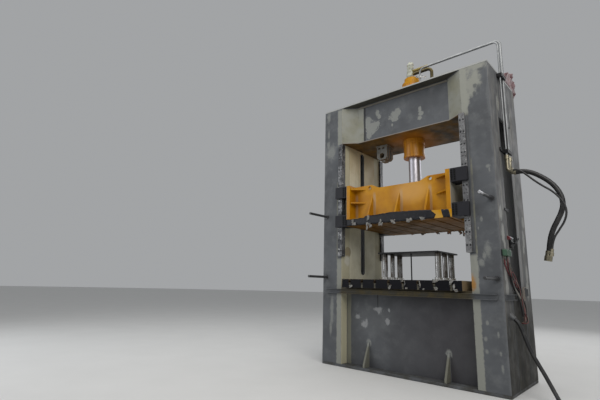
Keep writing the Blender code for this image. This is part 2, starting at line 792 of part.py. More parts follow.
def make_slide_body():
    inner = SLIDE_PANEL_FACE - SLIDE_PANEL_THICKNESS
    reach = SLIDE_END_INNER + BITE / 3
    depth = SLIDE_PANEL_FACE - SLIDE_PANEL_THICKNESS / 2
    body = block("slide_body", (-reach, -depth, SLIDE_FLOOR), (reach, depth, SLIDE_DECK), "enamel_yellow")
    for side in (-1, 1):
        across = sorted((side * SLIDE_END_INNER, side * SLIDE_END))
        low = (across[0], -SLIDE_DEPTH / 2, SLIDE_FLOOR)
        high = (across[1], SLIDE_DEPTH / 2, SLIDE_TOP)
        weld(body, block("slide_end_" + str(side), low, high))
    for end in (-1, 1):
        along = sorted((end * inner, end * SLIDE_PANEL_FACE))
        weld(body, prism("slide_panel_" + str(end), panel_outline(), along[0], along[1], "Y"))
        for side in (-1, 1):
            add_slide_ribs(body, side, end)
        for index in (-1, 0, 1):
            add_slide_gusset(body, index * SLIDE_GUSSET_PITCH, end, str(index) + str(end))
    place = LUG_TOWER_FOOT + LUG_HOLE_INSET
    height = SLIDE_FLOOR + PANEL_SHOULDER_HEIGHT - LUG_HOLE_DROP - LUG_HOLE_RADIUS
    for side in (-1, 1):
        profile = rod_profile(LUG_HOLE_RADIUS, -SLIDE_DEPTH / 2, SLIDE_DEPTH / 2)
        cut(body, turned("lug_hole_" + str(side), profile, (side * place, 0, height), "Y", steps=SMALL_STEPS))
    return body


def add_slide_gusset(body, middle, end, label):
    half = SLIDE_GUSSET_THICKNESS / 2
    outline = [
        (end * (SLIDE_PANEL_FACE - BITE), SLIDE_FLOOR),
        (end * (SLIDE_PANEL_FACE + SLIDE_GUSSET_DEPTH), SLIDE_FLOOR),
        (end * (SLIDE_PANEL_FACE + SLIDE_GUSSET_DEPTH), SLIDE_FLOOR + SLIDE_GUSSET_THICKNESS),
        (end * SLIDE_PANEL_FACE, SLIDE_FLOOR + SLIDE_GUSSET_HEIGHT),
        (end * (SLIDE_PANEL_FACE - BITE), SLIDE_FLOOR + SLIDE_GUSSET_HEIGHT),
    ]
    weld(body, prism("slide_gusset_" + label, outline, middle - half, middle + half, "X"))


def add_slide_ribs(body, side, end):
    tip = SLIDE_PANEL_FACE + SLIDE_GUSSET_DEPTH
    outline = [
        (side * (SLIDE_END_INNER + BITE / 2), end * (SLIDE_PANEL_FACE - BITE)),
        (side * (SLIDE_END_INNER + BITE / 2), end * tip),
        (side * (SLIDE_END_INNER - SLIDE_RIB_THICKNESS), end * tip),
        (side * (SLIDE_END_INNER - SLIDE_RIB_REACH), end * SLIDE_PANEL_FACE),
        (side * (SLIDE_END_INNER - SLIDE_RIB_REACH), end * (SLIDE_PANEL_FACE - BITE)),
    ]
    for index, height in enumerate(SLIDE_RIB_HEIGHTS):
        low = SLIDE_FLOOR + height - SLIDE_RIB_THICKNESS / 2
        name = "slide_rib_" + str(side) + str(end) + str(index)
        weld(body, prism(name, outline, low, low + SLIDE_RIB_THICKNESS))


def make_piston_rod():
    start = SLIDE_DECK + FIT
    flange = start + ROD_FLANGE_THICKNESS
    end = flange + ROD_LENGTH
    piston = BORE_RADIUS - RUNNING_FIT
    profile = [
        (0, start),
        (ROD_FLANGE_RADIUS, start),
        (ROD_FLANGE_RADIUS, flange),
        (ROD_RADIUS, flange),
        (ROD_RADIUS, end - PISTON_THICKNESS),
        (piston, end - PISTON_THICKNESS),
        (piston, end),
        (0, end),
    ]
    return turned("piston_rod", profile, (0, 0, 0), finish="chrome")


def make_cylinder():
    flange_top = CROWN_UNDERSIDE - FIT
    flange_bottom = flange_top - BARREL_FLANGE_THICKNESS
    nut_bottom = FRAME_TOP + FIT
    nut_top = nut_bottom + LOCK_NUT_THICKNESS
    profile = [
        (BORE_RADIUS, BARREL_BOTTOM),
        (BARREL_RADIUS, BARREL_BOTTOM),
        (BARREL_RADIUS, flange_bottom),
        (BARREL_FLANGE_RADIUS, flange_bottom),
        (BARREL_FLANGE_RADIUS, flange_top),
        (BARREL_RADIUS, flange_top),
        (BARREL_RADIUS, nut_bottom),
        (LOCK_NUT_RADIUS, nut_bottom),
        (LOCK_NUT_RADIUS, nut_top),
        (BARREL_RADIUS, nut_top),
        (BARREL_RADIUS, BARREL_TOP),
        (BORE_RADIUS, BARREL_TOP),
    ]
    turned("cylinder_barrel", profile, (0, 0, 0), finish="enamel_yellow", ring=True)
    gland_top = BARREL_BOTTOM - FIT
    gland = ring_profile(ROD_RADIUS + RUNNING_FIT, GLAND_RADIUS, gland_top - GLAND_THICKNESS, gland_top)
    turned("cylinder_gland", gland, (0, 0, 0), finish="enamel_yellow", ring=True)
    start = BARREL_TOP + FIT
    cap = [
        (0, start),
        (BARREL_RADIUS, start),
        (BARREL_RADIUS, start + CAP_FLANGE_THICKNESS),
        (CAP_RADIUS, start + CAP_FLANGE_THICKNESS),
        (CAP_RADIUS, CAP_TOP),
        (0, CAP_TOP),
    ]
    turned("cylinder_cap", cap, (0, 0, 0), finish="enamel_yellow")


def make_port_block():
    start = CAP_TOP + FIT
    end = start + PORT_BLOCK_HEIGHT
    profile = [
        (0, start),
        (PORT_BLOCK_RADIUS, start),
        (PORT_BLOCK_RADIUS, end - PORT_BLOCK_CROWN),
        (PORT_BLOCK_RADIUS - PORT_BLOCK_CROWN, end),
        (0, end),
    ]
    setback = -PORT_BLOCK_SETBACK
    port = turned("port_block", profile, (0, setback, 0), finish="enamel_yellow", steps=SMALL_STEPS)
    height = start + SUCTION_PIPE_RISE
    reach = SUCTION_PIPE_REACH + PORT_BLOCK_RADIUS
    corners = [(0, setback, height), (reach, setback, height), (reach, setback, FRAME_TOP + FIT)]
    route = rounded_route(corners, PIPE_BEND_RADIUS)
    weld(port, swept("suction_elbow", route, [SUCTION_PIPE_RADIUS] * len(route)))


def make_pipes():
    height = CAP_TOP + PRESSURE_PIPE_RISE
    setback = -PORT_BLOCK_SETBACK
    start = PORT_BLOCK_RADIUS + FIT
    corners = [(start, setback, height), (PIPE_LINE, setback, height), (PIPE_LINE, setback, PIPE_FOOT)]
    route = rounded_route(corners, PIPE_BEND_RADIUS)
    swept("pressure_pipe", route, [PRESSURE_PIPE_RADIUS] * len(route), "pipe_steel")
    height = FRAME_TOP + RETURN_PIPE_RISE
    setback = -RETURN_PIPE_SETBACK
    corners = [
        (RETURN_PIPE_PLACE, setback, FRAME_TOP + FIT),
        (RETURN_PIPE_PLACE, setback, height),
        (PIPE_LINE, setback, height),
        (PIPE_LINE, setback, PIPE_FOOT),
    ]
    route = rounded_route(corners, PIPE_BEND_RADIUS)
    swept("return_pipe", route, [RETURN_PIPE_RADIUS] * len(route), "pipe_steel")


def make_clamp(name, bottom, strap):
    near = -RETURN_PIPE_SETBACK - CLAMP_MARGIN
    far = -PORT_BLOCK_SETBACK + CLAMP_MARGIN
    start = HALF_WIDTH + FIT
    low = (start, near, bottom)
    high = (PIPE_LINE + CLAMP_MARGIN, far, bottom + CLAMP_THICKNESS)
    clamp = block(name, low, high, "shoe_black")
    if strap:
        strap_low = (start, near - CLAMP_STRAP_LENGTH, bottom)
        strap_high = (start + CLAMP_STRAP_THICKNESS, near + BITE, bottom + CLAMP_THICKNESS)
        weld(clamp, block(name + "_strap", strap_low, strap_high))
    for setback, radius in (
        (PORT_BLOCK_SETBACK, PRESSURE_PIPE_RADIUS),
        (RETURN_PIPE_SETBACK, RETURN_PIPE_RADIUS),
    ):
        profile = rod_profile(radius + FIT, bottom - OVERRUN, bottom + CLAMP_THICKNESS + OVERRUN)
        tool = turned(name + "_hole_" + str(setback), profile, (PIPE_LINE, -setback, 0), steps=SMALL_STEPS)
        cut(clamp, tool)


def make_elbow(name, setback):
    top = PIPE_FOOT - FIT
    middle = top - ELBOW_DROP
    end = PIPE_LINE + ELBOW_REACH
    bend = rounded_route(
        [(PIPE_LINE, -setback, top), (PIPE_LINE, -setback, middle), (end, -setback, middle)],
        ELBOW_BEND_RADIUS,
    )
    shoulder = Vector((PIPE_LINE, -setback, top - NUT_LENGTH))
    lip = Vector((end - NUT_LENGTH / 2, -setback, middle))
    route = [bend[0], shoulder, shoulder] + bend[1:-1] + [lip, lip, bend[-1]]
    necks = [ELBOW_NECK_RADIUS] * len(bend)
    swept(name, route, [NUT_RADIUS] * 2 + necks + [NUT_RADIUS] * 2, "brass")


# The cords' routes, from the fitting outwards and down
PRESSURE_HOSE_ROUTE = [
    (1.5103, -0.060, 2.8097),
    (1.570, -0.060, 2.8097),
    (1.640, -0.052, 2.797),
    (1.720, -0.040, 2.760),
    (1.810, -0.025, 2.695),
    (1.895, -0.012, 2.612),
    (1.958, -0.004, 2.515),
    (1.994, 0.000, 2.410),
    (1.998, 0.000, 2.305),
    (1.968, 0.000, 2.205),
    (1.920, 0.000, 2.110),
    (1.872, 0.000, 2.018),
    (1.836, 0.000, 1.925),
    (1.812, 0.000, 1.825),
    (1.797, 0.000, 1.730),
]
RETURN_HOSE_ROUTE = [
    (1.5103, -0.190, 2.8097),
    (1.545, -0.190, 2.8097),
    (1.600, -0.178, 2.780),
    (1.665, -0.158, 2.715),
    (1.735, -0.138, 2.640),
    (1.820, -0.120, 2.560),
    (1.905, -0.109, 2.488),
    (1.975, -0.103, 2.405),
    (2.028, -0.100, 2.305),
    (2.043, -0.100, 2.195),
    (2.012, -0.100, 2.085),
    (1.950, -0.100, 1.985),
    (1.895, -0.100, 1.900),
    (1.865, -0.100, 1.820),
    (1.850, -0.100, 1.745),
]
CONDUIT_ROUTE = [
    (1.4426, -0.430, 0.8824),
    (1.478, -0.430, 0.847),
    (1.513, -0.425, 0.765),
    (1.548, -0.415, 0.645),
    (1.590, -0.405, 0.522),
    (1.648, -0.402, 0.400),
    (1.710, -0.405, 0.282),
    (1.765, -0.415, 0.172),
    (1.812, -0.440, 0.088),
    (1.850, -0.490, 0.040),
    (1.875, -0.565, 0.0250),
    (1.880, -0.660, 0.0300),
    (1.858, -0.755, 0.0385),
]
BOX_CABLE_ROUTE = [
    (1.4350, -0.520, 1.6394),
    (1.4350, -0.520, 1.605),
    (1.4355, -0.512, 1.555),
    (1.4400, -0.478, 1.480),
    (1.4440, -0.418, 1.410),
    (1.4450, -0.320, 1.360),
    (1.4450, -0.215, 1.318),
    (1.4430, -0.120, 1.252),
    (1.4390, -0.050, 1.160),
    (1.4370, -0.008, 1.060),
    (1.4430, 0.018, 0.970),
    (1.4600, 0.034, 0.905),
    (1.4720, 0.041, 0.862),
    (1.4650, 0.044, 0.828),
    (1.4470, 0.044, 0.814),
    (1.4260, 0.044, 0.812),
    (1.4006, 0.044, 0.812),
]


def make_cord(name, points, radius, end_length=0, spacing=POINT_SPACING):
    route = smooth_route(points, 2 * radius * spacing)
    tube(name, route, radius, "hose_black")
    if not end_length:
        return
    heading = (route[-1] - route[-2]).normalized()
    sleeve = radius + HOSE_END_MARGIN
    nut = radius + HOSE_NUT_MARGIN
    profile = [
        (0, FIT),
        (sleeve, FIT),
        (sleeve, end_length / 2),
        (nut, end_length / 2),
        (nut, end_length),
        (0, end_length),
    ]
    end = turned(name + "_end", profile, (0, 0, 0), finish="brass", steps=SMALL_STEPS)
    turn = Vector((0, 0, 1)).rotation_difference(heading).to_matrix().to_4x4()
    end.matrix_world = Matrix.Translation(route[-1]) @ turn


def make_lock_housing():
    top = CROWN_UNDERSIDE - FIT
    half_x = LOCK_WIDTH / 2
    half_y = LOCK_DEPTH / 2
    bottom = top - LOCK_HEIGHT
    front = LOCK_PLACE_Y - half_y
    rear = LOCK_PLACE_Y + half_y
    left = LOCK_PLACE_X - half_x
    right = LOCK_PLACE_X + half_x
    outline = [
        (left, bottom + LOCK_CHAMFER),
        (left + LOCK_CHAMFER, bottom),
        (right - LOCK_CHAMFER, bottom),
        (right, bottom + LOCK_CHAMFER),
        (right, top),
        (left, top),
    ]
    housing = prism("lock_housing", outline, front, rear, "Y", "primer_grey")
    margin = LOCK_FLANGE_MARGIN
    low = (left - margin, front - margin, top - LOCK_FLANGE_THICKNESS)
    weld(housing, block("lock_flange", low, (right + margin, rear + margin, top)))
    half_foot = LOCK_FOOT_WIDTH / 2
    half_depth = LOCK_FOOT_DEPTH / 2
    low = (LOCK_PLACE_X - half_foot, LOCK_PLACE_Y - half_depth, bottom - LOCK_FOOT_HEIGHT)
    high = (LOCK_PLACE_X + half_foot, LOCK_PLACE_Y + half_depth, bottom + BITE)
    weld(housing, block("lock_foot", low, high))
    for index, (start, width) in enumerate(LOCK_GROOVES):
        for side in (-1, 1):
            edge = LOCK_PLACE_X + side * half_x
            across = sorted((edge - side * LOCK_GROOVE_DEPTH, edge + side * OVERRUN))
            low = (across[0], front + start, bottom - OVERRUN)
            high = (across[1], front + start + width, top - LOCK_FLANGE_THICKNESS)
            cut(housing, block("lock_groove_" + str(index) + str(side), low, high))
    for index, place in enumerate(LOCK_POCKET_PLACES):
        middle = LOCK_PLACE_X + place
        ceiling = top - LOCK_POCKET_DROP
        low = (middle - LOCK_POCKET_WIDTH / 2, front - OVERRUN, ceiling - LOCK_POCKET_HEIGHT)
        high = (middle + LOCK_POCKET_WIDTH / 2, front + LOCK_POCKET_DEPTH, ceiling)
        cut(housing, block("lock_pocket_" + str(index), low, high))
    profile = rod_profile(LOCK_BORE_RADIUS, -OVERRUN, LOCK_BORE_DEPTH)
    centre = (LOCK_PLACE_X, LOCK_PLACE_Y - half_y, top - LOCK_BORE_DROP)
    cut(housing, turned("lock_bore", profile, centre, "Y", steps=SMALL_STEPS))


def make_bar(side, height, name):
    profile = [
        (0, 0),
        (BAR_FOOT_RADIUS, 0),
        (BAR_FOOT_RADIUS, -BAR_FOOT_THICKNESS),
        (BAR_RADIUS, -BAR_FOOT_THICKNESS),
        (BAR_RADIUS, -BAR_LENGTH + EDGE),
        (BAR_RADIUS - EDGE, -BAR_LENGTH),
        (0, -BAR_LENGTH),
    ]
    centre = (side * BAR_PLACE, -HALF_DEPTH - FIT, height)
    turned(name, profile, centre, "Y", "shoe_black", SMALL_STEPS)


def make_electrical_box():
    start = -HALF_DEPTH + BOX_SETBACK
    low = (HALF_WIDTH + FIT, start, BOX_BOTTOM)
    high = (HALF_WIDTH + FIT + BOX_DEPTH, start + BOX_WIDTH, BOX_BOTTOM + BOX_HEIGHT)
    soften(block("electrical_box", low, high, "box_green"))


def make_stop_valve():
    middle_x = HALF_WIDTH - WALL / 2
    edge = -WINDOW_HALF + FIT
    start = edge + VALVE_BRACKET_LENGTH
    profile = rod_profile(VALVE_RADIUS, 0, VALVE_LENGTH)
    centre = (middle_x, start, VALVE_HEIGHT)
    body = turned("stop_valve", profile, centre, "Y", "shoe_black", SMALL_STEPS)
    half = VALVE_BRACKET_HEIGHT / 2
    thickness = WALL / 4
    low = (middle_x - thickness, edge, VALVE_HEIGHT - half)
    weld(body, block("valve_bracket", low, (middle_x + thickness, start + BITE, VALVE_HEIGHT + half)))
    pivot_y = start + VALVE_LENGTH / 2
    stem_end = middle_x + VALVE_RADIUS + LEVER_HUB_RADIUS
    stem = rod_profile(STEM_RADIUS, 0, stem_end - middle_x)
    weld(body, turned("valve_stem", stem, (middle_x, pivot_y, VALVE_HEIGHT), "X", steps=SMALL_STEPS))
    make_valve_lever(Vector((stem_end + FIT, pivot_y, VALVE_HEIGHT)))


def make_valve_lever(pivot):
    half = LEVER_WIDTH / 2
    outline = []
    for step in range(2 * BEND_STEPS + 1):
        turn = pi / 2 + pi * step / (2 * BEND_STEPS)
        outline.append((LEVER_HUB_RADIUS * cos(turn), LEVER_HUB_RADIUS * sin(turn)))
    outline += [(LEVER_HUB_RADIUS, -half), (LEVER_LENGTH - half, -half)]
    outline += [(LEVER_LENGTH, 0), (LEVER_LENGTH - half, half), (LEVER_HUB_RADIUS, half)]
    lever = prism("valve_lever", outline, 0, LEVER_THICKNESS, "X", "shoe_black")
    lever.matrix_world = Matrix.Translation(pivot) @ Matrix.Rotation(LEVER_TILT, 4, "X")


def make_stand():
    rear = STAND_SETBACK + STAND_DEPTH / 2
    low = (STAND_SHIFT - STAND_WIDTH / 2, STAND_SETBACK - STAND_DEPTH / 2, STAND_TOP - STAND_PLATE_THICKNESS)
    high = (STAND_SHIFT + STAND_WIDTH / 2, rear, STAND_TOP)
    plate = block("stand_plate", low, high, "stand_dark")
    floor = BOLSTER_TOP + FIT
    profile = rod_profile(STAND_ROD_RADIUS, floor, low[2] + BITE)
    weld(plate, turned("stand_rod", profile, (STAND_SHIFT, -STAND_ROD_SETBACK, 0), steps=SMALL_STEPS))
    ceiling = low[2] - FIT
    for side, label in ((-1, "left"), (1, "right")):
        middle = STAND_SHIFT + side * STAND_POST_PLACE
        half = STAND_SHOE_WIDTH / 2
        rear = STAND_SETBACK + STAND_SHOE_DEPTH / 2
        shoe_low = (middle - half, STAND_SETBACK - STAND_SHOE_DEPTH / 2, floor)
        shoe_high = (middle + half, rear, floor + STAND_SHOE_THICKNESS)
        posts = block("stand_posts_" + label, shoe_low, shoe_high, "stand_steel")
        for index, radius in enumerate(STAND_POST_RADII):
            place = STAND_SETBACK + (index - 1) * STAND_POST_PITCH
            collar = floor + STAND_SHOE_THICKNESS + STAND_COLLAR_HEIGHT
            profile = [
                (0, floor + STAND_SHOE_THICKNESS - BITE),
                (STAND_COLLAR_RADIUS, floor + STAND_SHOE_THICKNESS - BITE),
                (STAND_COLLAR_RADIUS, collar),
                (radius, collar),
                (radius, ceiling),
                (0, ceiling),
            ]
            weld(posts, turned("stand_post_" + label + str(index), profile, (middle, place, 0), steps=SMALL_STEPS))


# The slide's pieces hang from one empty on the press's centre line
def carry_with_slide(pieces):
    carriage = bpy.data.objects.new("slide_carriage", None)
    bpy.context.scene.collection.objects.link(carriage)
    carriage.location = (0, 0, SLIDE_UNDERSIDE)
    bpy.context.view_layer.update()
    for piece in pieces:
        piece.parent = carriage
        piece.matrix_parent_inverse = carriage.matrix_world.inverted()


def main():
    clear_scene()
    make_base_plate()
    for side, label in ((-1, "left"), (1, "right")):
        make_column(side, label)
    make_bed()
    make_crown()
    make_channels()
    make_bolster()
    moving = [make_slide_plate(), make_slide_body(), make_piston_rod()]
    for side, across in ((-1, "left"), (1, "right")):
        for end, along in ((-1, "front"), (1, "rear")):
            corner = "_" + across + "_" + along
            make_rail(side, end, "guide_rail" + corner)
            moving.append(make_shoe(side, end, SLIDE_UNDERSIDE, "lower_shoe" + corner))
            moving.append(make_shoe(side, end, SLIDE_TOP - SHOE_HEIGHT, "upper_shoe" + corner))
    carry_with_slide(moving)
    make_cylinder()
    make_port_block()
    make_pipes()
    make_clamp("pipe_clamp_upper", FRAME_TOP - UPPER_CLAMP_DROP - CLAMP_THICKNESS, False)
    make_clamp("pipe_clamp_lower", PIPE_FOOT + LOWER_CLAMP_LIFT, True)
    make_elbow("pressure_elbow", PORT_BLOCK_SETBACK)
    make_elbow("return_elbow", RETURN_PIPE_SETBACK)
    make_cord("pressure_hose", PRESSURE_HOSE_ROUTE, PRESSURE_HOSE_RADIUS, PRESSURE_HOSE_END_LENGTH)
    make_cord("return_hose", RETURN_HOSE_ROUTE, RETURN_HOSE_RADIUS, RETURN_HOSE_END_LENGTH)
    make_cord("conduit", CONDUIT_ROUTE, CONDUIT_RADIUS, CONDUIT_END_LENGTH)
    make_cord("box_cable", BOX_CABLE_ROUTE, BOX_CABLE_RADIUS, spacing=CABLE_SPACING)
    make_lock_housing()
    for side, across in ((-1, "left"), (1, "right")):
        for height, level in zip(BAR_HEIGHTS, ("lower", "upper")):
            make_bar(side, height, "front_bar_" + across + "_" + level)
    make_electrical_box()
    make_stop_valve()
    make_stand()


main()
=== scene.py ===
# Looks of the hydraulic press: camera, light, paint, and the small pieces that the frame leaves out.
from itertools import product
from math import cos, pi, radians, sin
from random import Random

import bmesh
import bpy
from mathutils import Matrix, Vector
from mathutils.noise import noise


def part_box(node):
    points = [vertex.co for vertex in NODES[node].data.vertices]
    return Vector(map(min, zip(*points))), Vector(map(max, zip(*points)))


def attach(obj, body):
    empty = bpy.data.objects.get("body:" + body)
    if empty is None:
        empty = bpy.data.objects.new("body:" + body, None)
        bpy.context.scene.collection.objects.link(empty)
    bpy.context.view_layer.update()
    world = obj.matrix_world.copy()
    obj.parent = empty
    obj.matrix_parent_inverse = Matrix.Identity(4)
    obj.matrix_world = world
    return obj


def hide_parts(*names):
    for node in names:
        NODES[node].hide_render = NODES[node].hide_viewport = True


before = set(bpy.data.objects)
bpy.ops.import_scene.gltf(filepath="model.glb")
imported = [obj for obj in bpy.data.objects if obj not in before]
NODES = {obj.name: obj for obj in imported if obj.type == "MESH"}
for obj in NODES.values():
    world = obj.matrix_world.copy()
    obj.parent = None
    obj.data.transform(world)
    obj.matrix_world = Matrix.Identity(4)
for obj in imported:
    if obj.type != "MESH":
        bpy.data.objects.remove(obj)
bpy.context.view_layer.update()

SCENE = bpy.context.scene

# Camera, solved from the straight edges of the press
CAMERA_PLACE = (2.916, -5.936, 1.24)
CAMERA_YAW = radians(42.63)
CAMERA_PITCH = radians(11.78)
CAMERA_ROLL = radians(1.51)
SENSOR_WIDTH = 36.0
FOCAL_SHARE = 401.0 / 600.0

# Places read from the frame
CROWN_LOW, CROWN_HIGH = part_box("crown")
BED_LOW, BED_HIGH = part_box("bed")
PLATE_LOW, PLATE_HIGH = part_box("slide_plate")
SLIDE_LOW, SLIDE_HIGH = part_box("slide_body")
CAP_LOW, CAP_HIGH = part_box("cylinder_cap")
BOLSTER_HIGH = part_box("bolster")[1]
POSTS_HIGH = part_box("stand_posts_left")[1]
TOP_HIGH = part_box("top_plate")[1]
HALF_WIDTH, HALF_DEPTH = TOP_HIGH.xy
COLUMN_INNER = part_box("column_right_web")[0].x
PANEL_FACE = 0.465
CHEEK_FOOT = 0.79
SLIDE_PANEL_FACE = 0.565
TSLOT_PITCH = 0.2275

# Signs and names of the press's sides, ends and corners
ENDS = (-1, 1)
LEVELS = ("lower", "upper")
SIDES = ((-1, "left"), (1, "right"))
CORNERS = [
    (side, end, across + "_" + along)
    for side, across in SIDES
    for end, along in ((-1, "front"), (1, "rear"))
]
COVERS = ("column_right_lower_cover", "column_right_upper_cover")

# Small steps of the meshes
JOIN_DISTANCE = 0.00002
CURVE_PIECES = 24
RIPPLE_STEP = 1.9

# Cords, with the points that the frame's own cords follow
CORD_SPACING = 0.02
PRESSURE_HOSE_DIAMETER = 0.064
RETURN_HOSE_DIAMETER = 0.025
CONDUIT_DIAMETER = 0.045
PRESSURE_HOSE_ROUTE = [
    (1.5103, -0.06, 2.8097), (1.57, -0.06, 2.8097), (1.64, -0.052, 2.797), (1.72, -0.04, 2.76),
    (1.81, -0.025, 2.695), (1.895, -0.012, 2.612), (1.958, -0.004, 2.515), (1.994, 0.0, 2.41),
    (1.998, 0.0, 2.305), (1.968, 0.0, 2.205), (1.92, 0.0, 2.11), (1.872, 0.0, 2.018),
    (1.836, 0.0, 1.925), (1.812, 0.0, 1.825), (1.797, 0.0, 1.73),
]
RETURN_HOSE_ROUTE = [
    (1.5103, -0.19, 2.8097), (1.545, -0.19, 2.8097), (1.6, -0.178, 2.78), (1.665, -0.158, 2.715),
    (1.735, -0.138, 2.64), (1.82, -0.12, 2.56), (1.905, -0.109, 2.488), (1.975, -0.103, 2.405),
    (2.028, -0.1, 2.305), (2.043, -0.1, 2.195), (2.012, -0.1, 2.085), (1.95, -0.1, 1.985),
    (1.895, -0.1, 1.9), (1.865, -0.1, 1.82), (1.85, -0.1, 1.745),
]
CONDUIT_ROUTE = [
    (1.4426, -0.43, 0.8824), (1.478, -0.43, 0.847), (1.513, -0.425, 0.765), (1.548, -0.415, 0.645),
    (1.59, -0.405, 0.522), (1.648, -0.402, 0.4), (1.71, -0.405, 0.282), (1.765, -0.415, 0.172),
    (1.812, -0.44, 0.088), (1.85, -0.49, 0.04), (1.875, -0.565, 0.025), (1.88, -0.66, 0.03),
    (1.858, -0.755, 0.0385),
]
BOX_CABLE_DIAMETER = 0.024
BOX_CABLE_ROUTE = [
    (1.435, -0.52, 1.6394), (1.435, -0.52, 1.605), (1.4355, -0.512, 1.555), (1.44, -0.478, 1.48),
    (1.444, -0.418, 1.41), (1.445, -0.32, 1.36), (1.445, -0.215, 1.318), (1.443, -0.12, 1.252),
    (1.439, -0.05, 1.16), (1.437, -0.008, 1.06), (1.443, 0.018, 0.97), (1.46, 0.034, 0.905),
    (1.472, 0.041, 0.862), (1.465, 0.044, 0.828), (1.447, 0.044, 0.814), (1.426, 0.044, 0.812),
    (1.4006, 0.044, 0.812),
]


def make_camera():
    lens = bpy.data.cameras.new("photo_camera")
    lens.sensor_width = SENSOR_WIDTH
    lens.lens = SENSOR_WIDTH * FOCAL_SHARE
    lens.clip_end = 200
    camera = linked("photo_camera", lens)
    level = Vector((-sin(CAMERA_YAW), cos(CAMERA_YAW), 0))
    side = Vector((cos(CAMERA_YAW), sin(CAMERA_YAW), 0))
    up = Vector((0, 0, 1))
    ahead = level * cos(CAMERA_PITCH) + up * sin(CAMERA_PITCH)
    above = up * cos(CAMERA_PITCH) - level * sin(CAMERA_PITCH)
    right = side * cos(CAMERA_ROLL) + above * sin(CAMERA_ROLL)
    top = above * cos(CAMERA_ROLL) - side * sin(CAMERA_ROLL)
    turn = Matrix((right, top, -ahead)).transposed().to_4x4()
    camera.matrix_world = Matrix.Translation(CAMERA_PLACE) @ turn
    SCENE.camera = camera


# A number that runs through a material's nodes; sums and products of such numbers add math nodes
class Value:
    def __init__(self, skin, socket):
        self.skin = skin
        self.socket = socket

    def __add__(self, other):
        return self.skin.math("ADD", self, other)

    def __sub__(self, other):
        return self.skin.math("SUBTRACT", self, other)

    def __rsub__(self, other):
        return self.skin.math("SUBTRACT", other, self)

    def __mul__(self, other):
        return self.skin.math("MULTIPLY", self, other)

    def __abs__(self):
        return self.skin.math("ABSOLUTE", self)


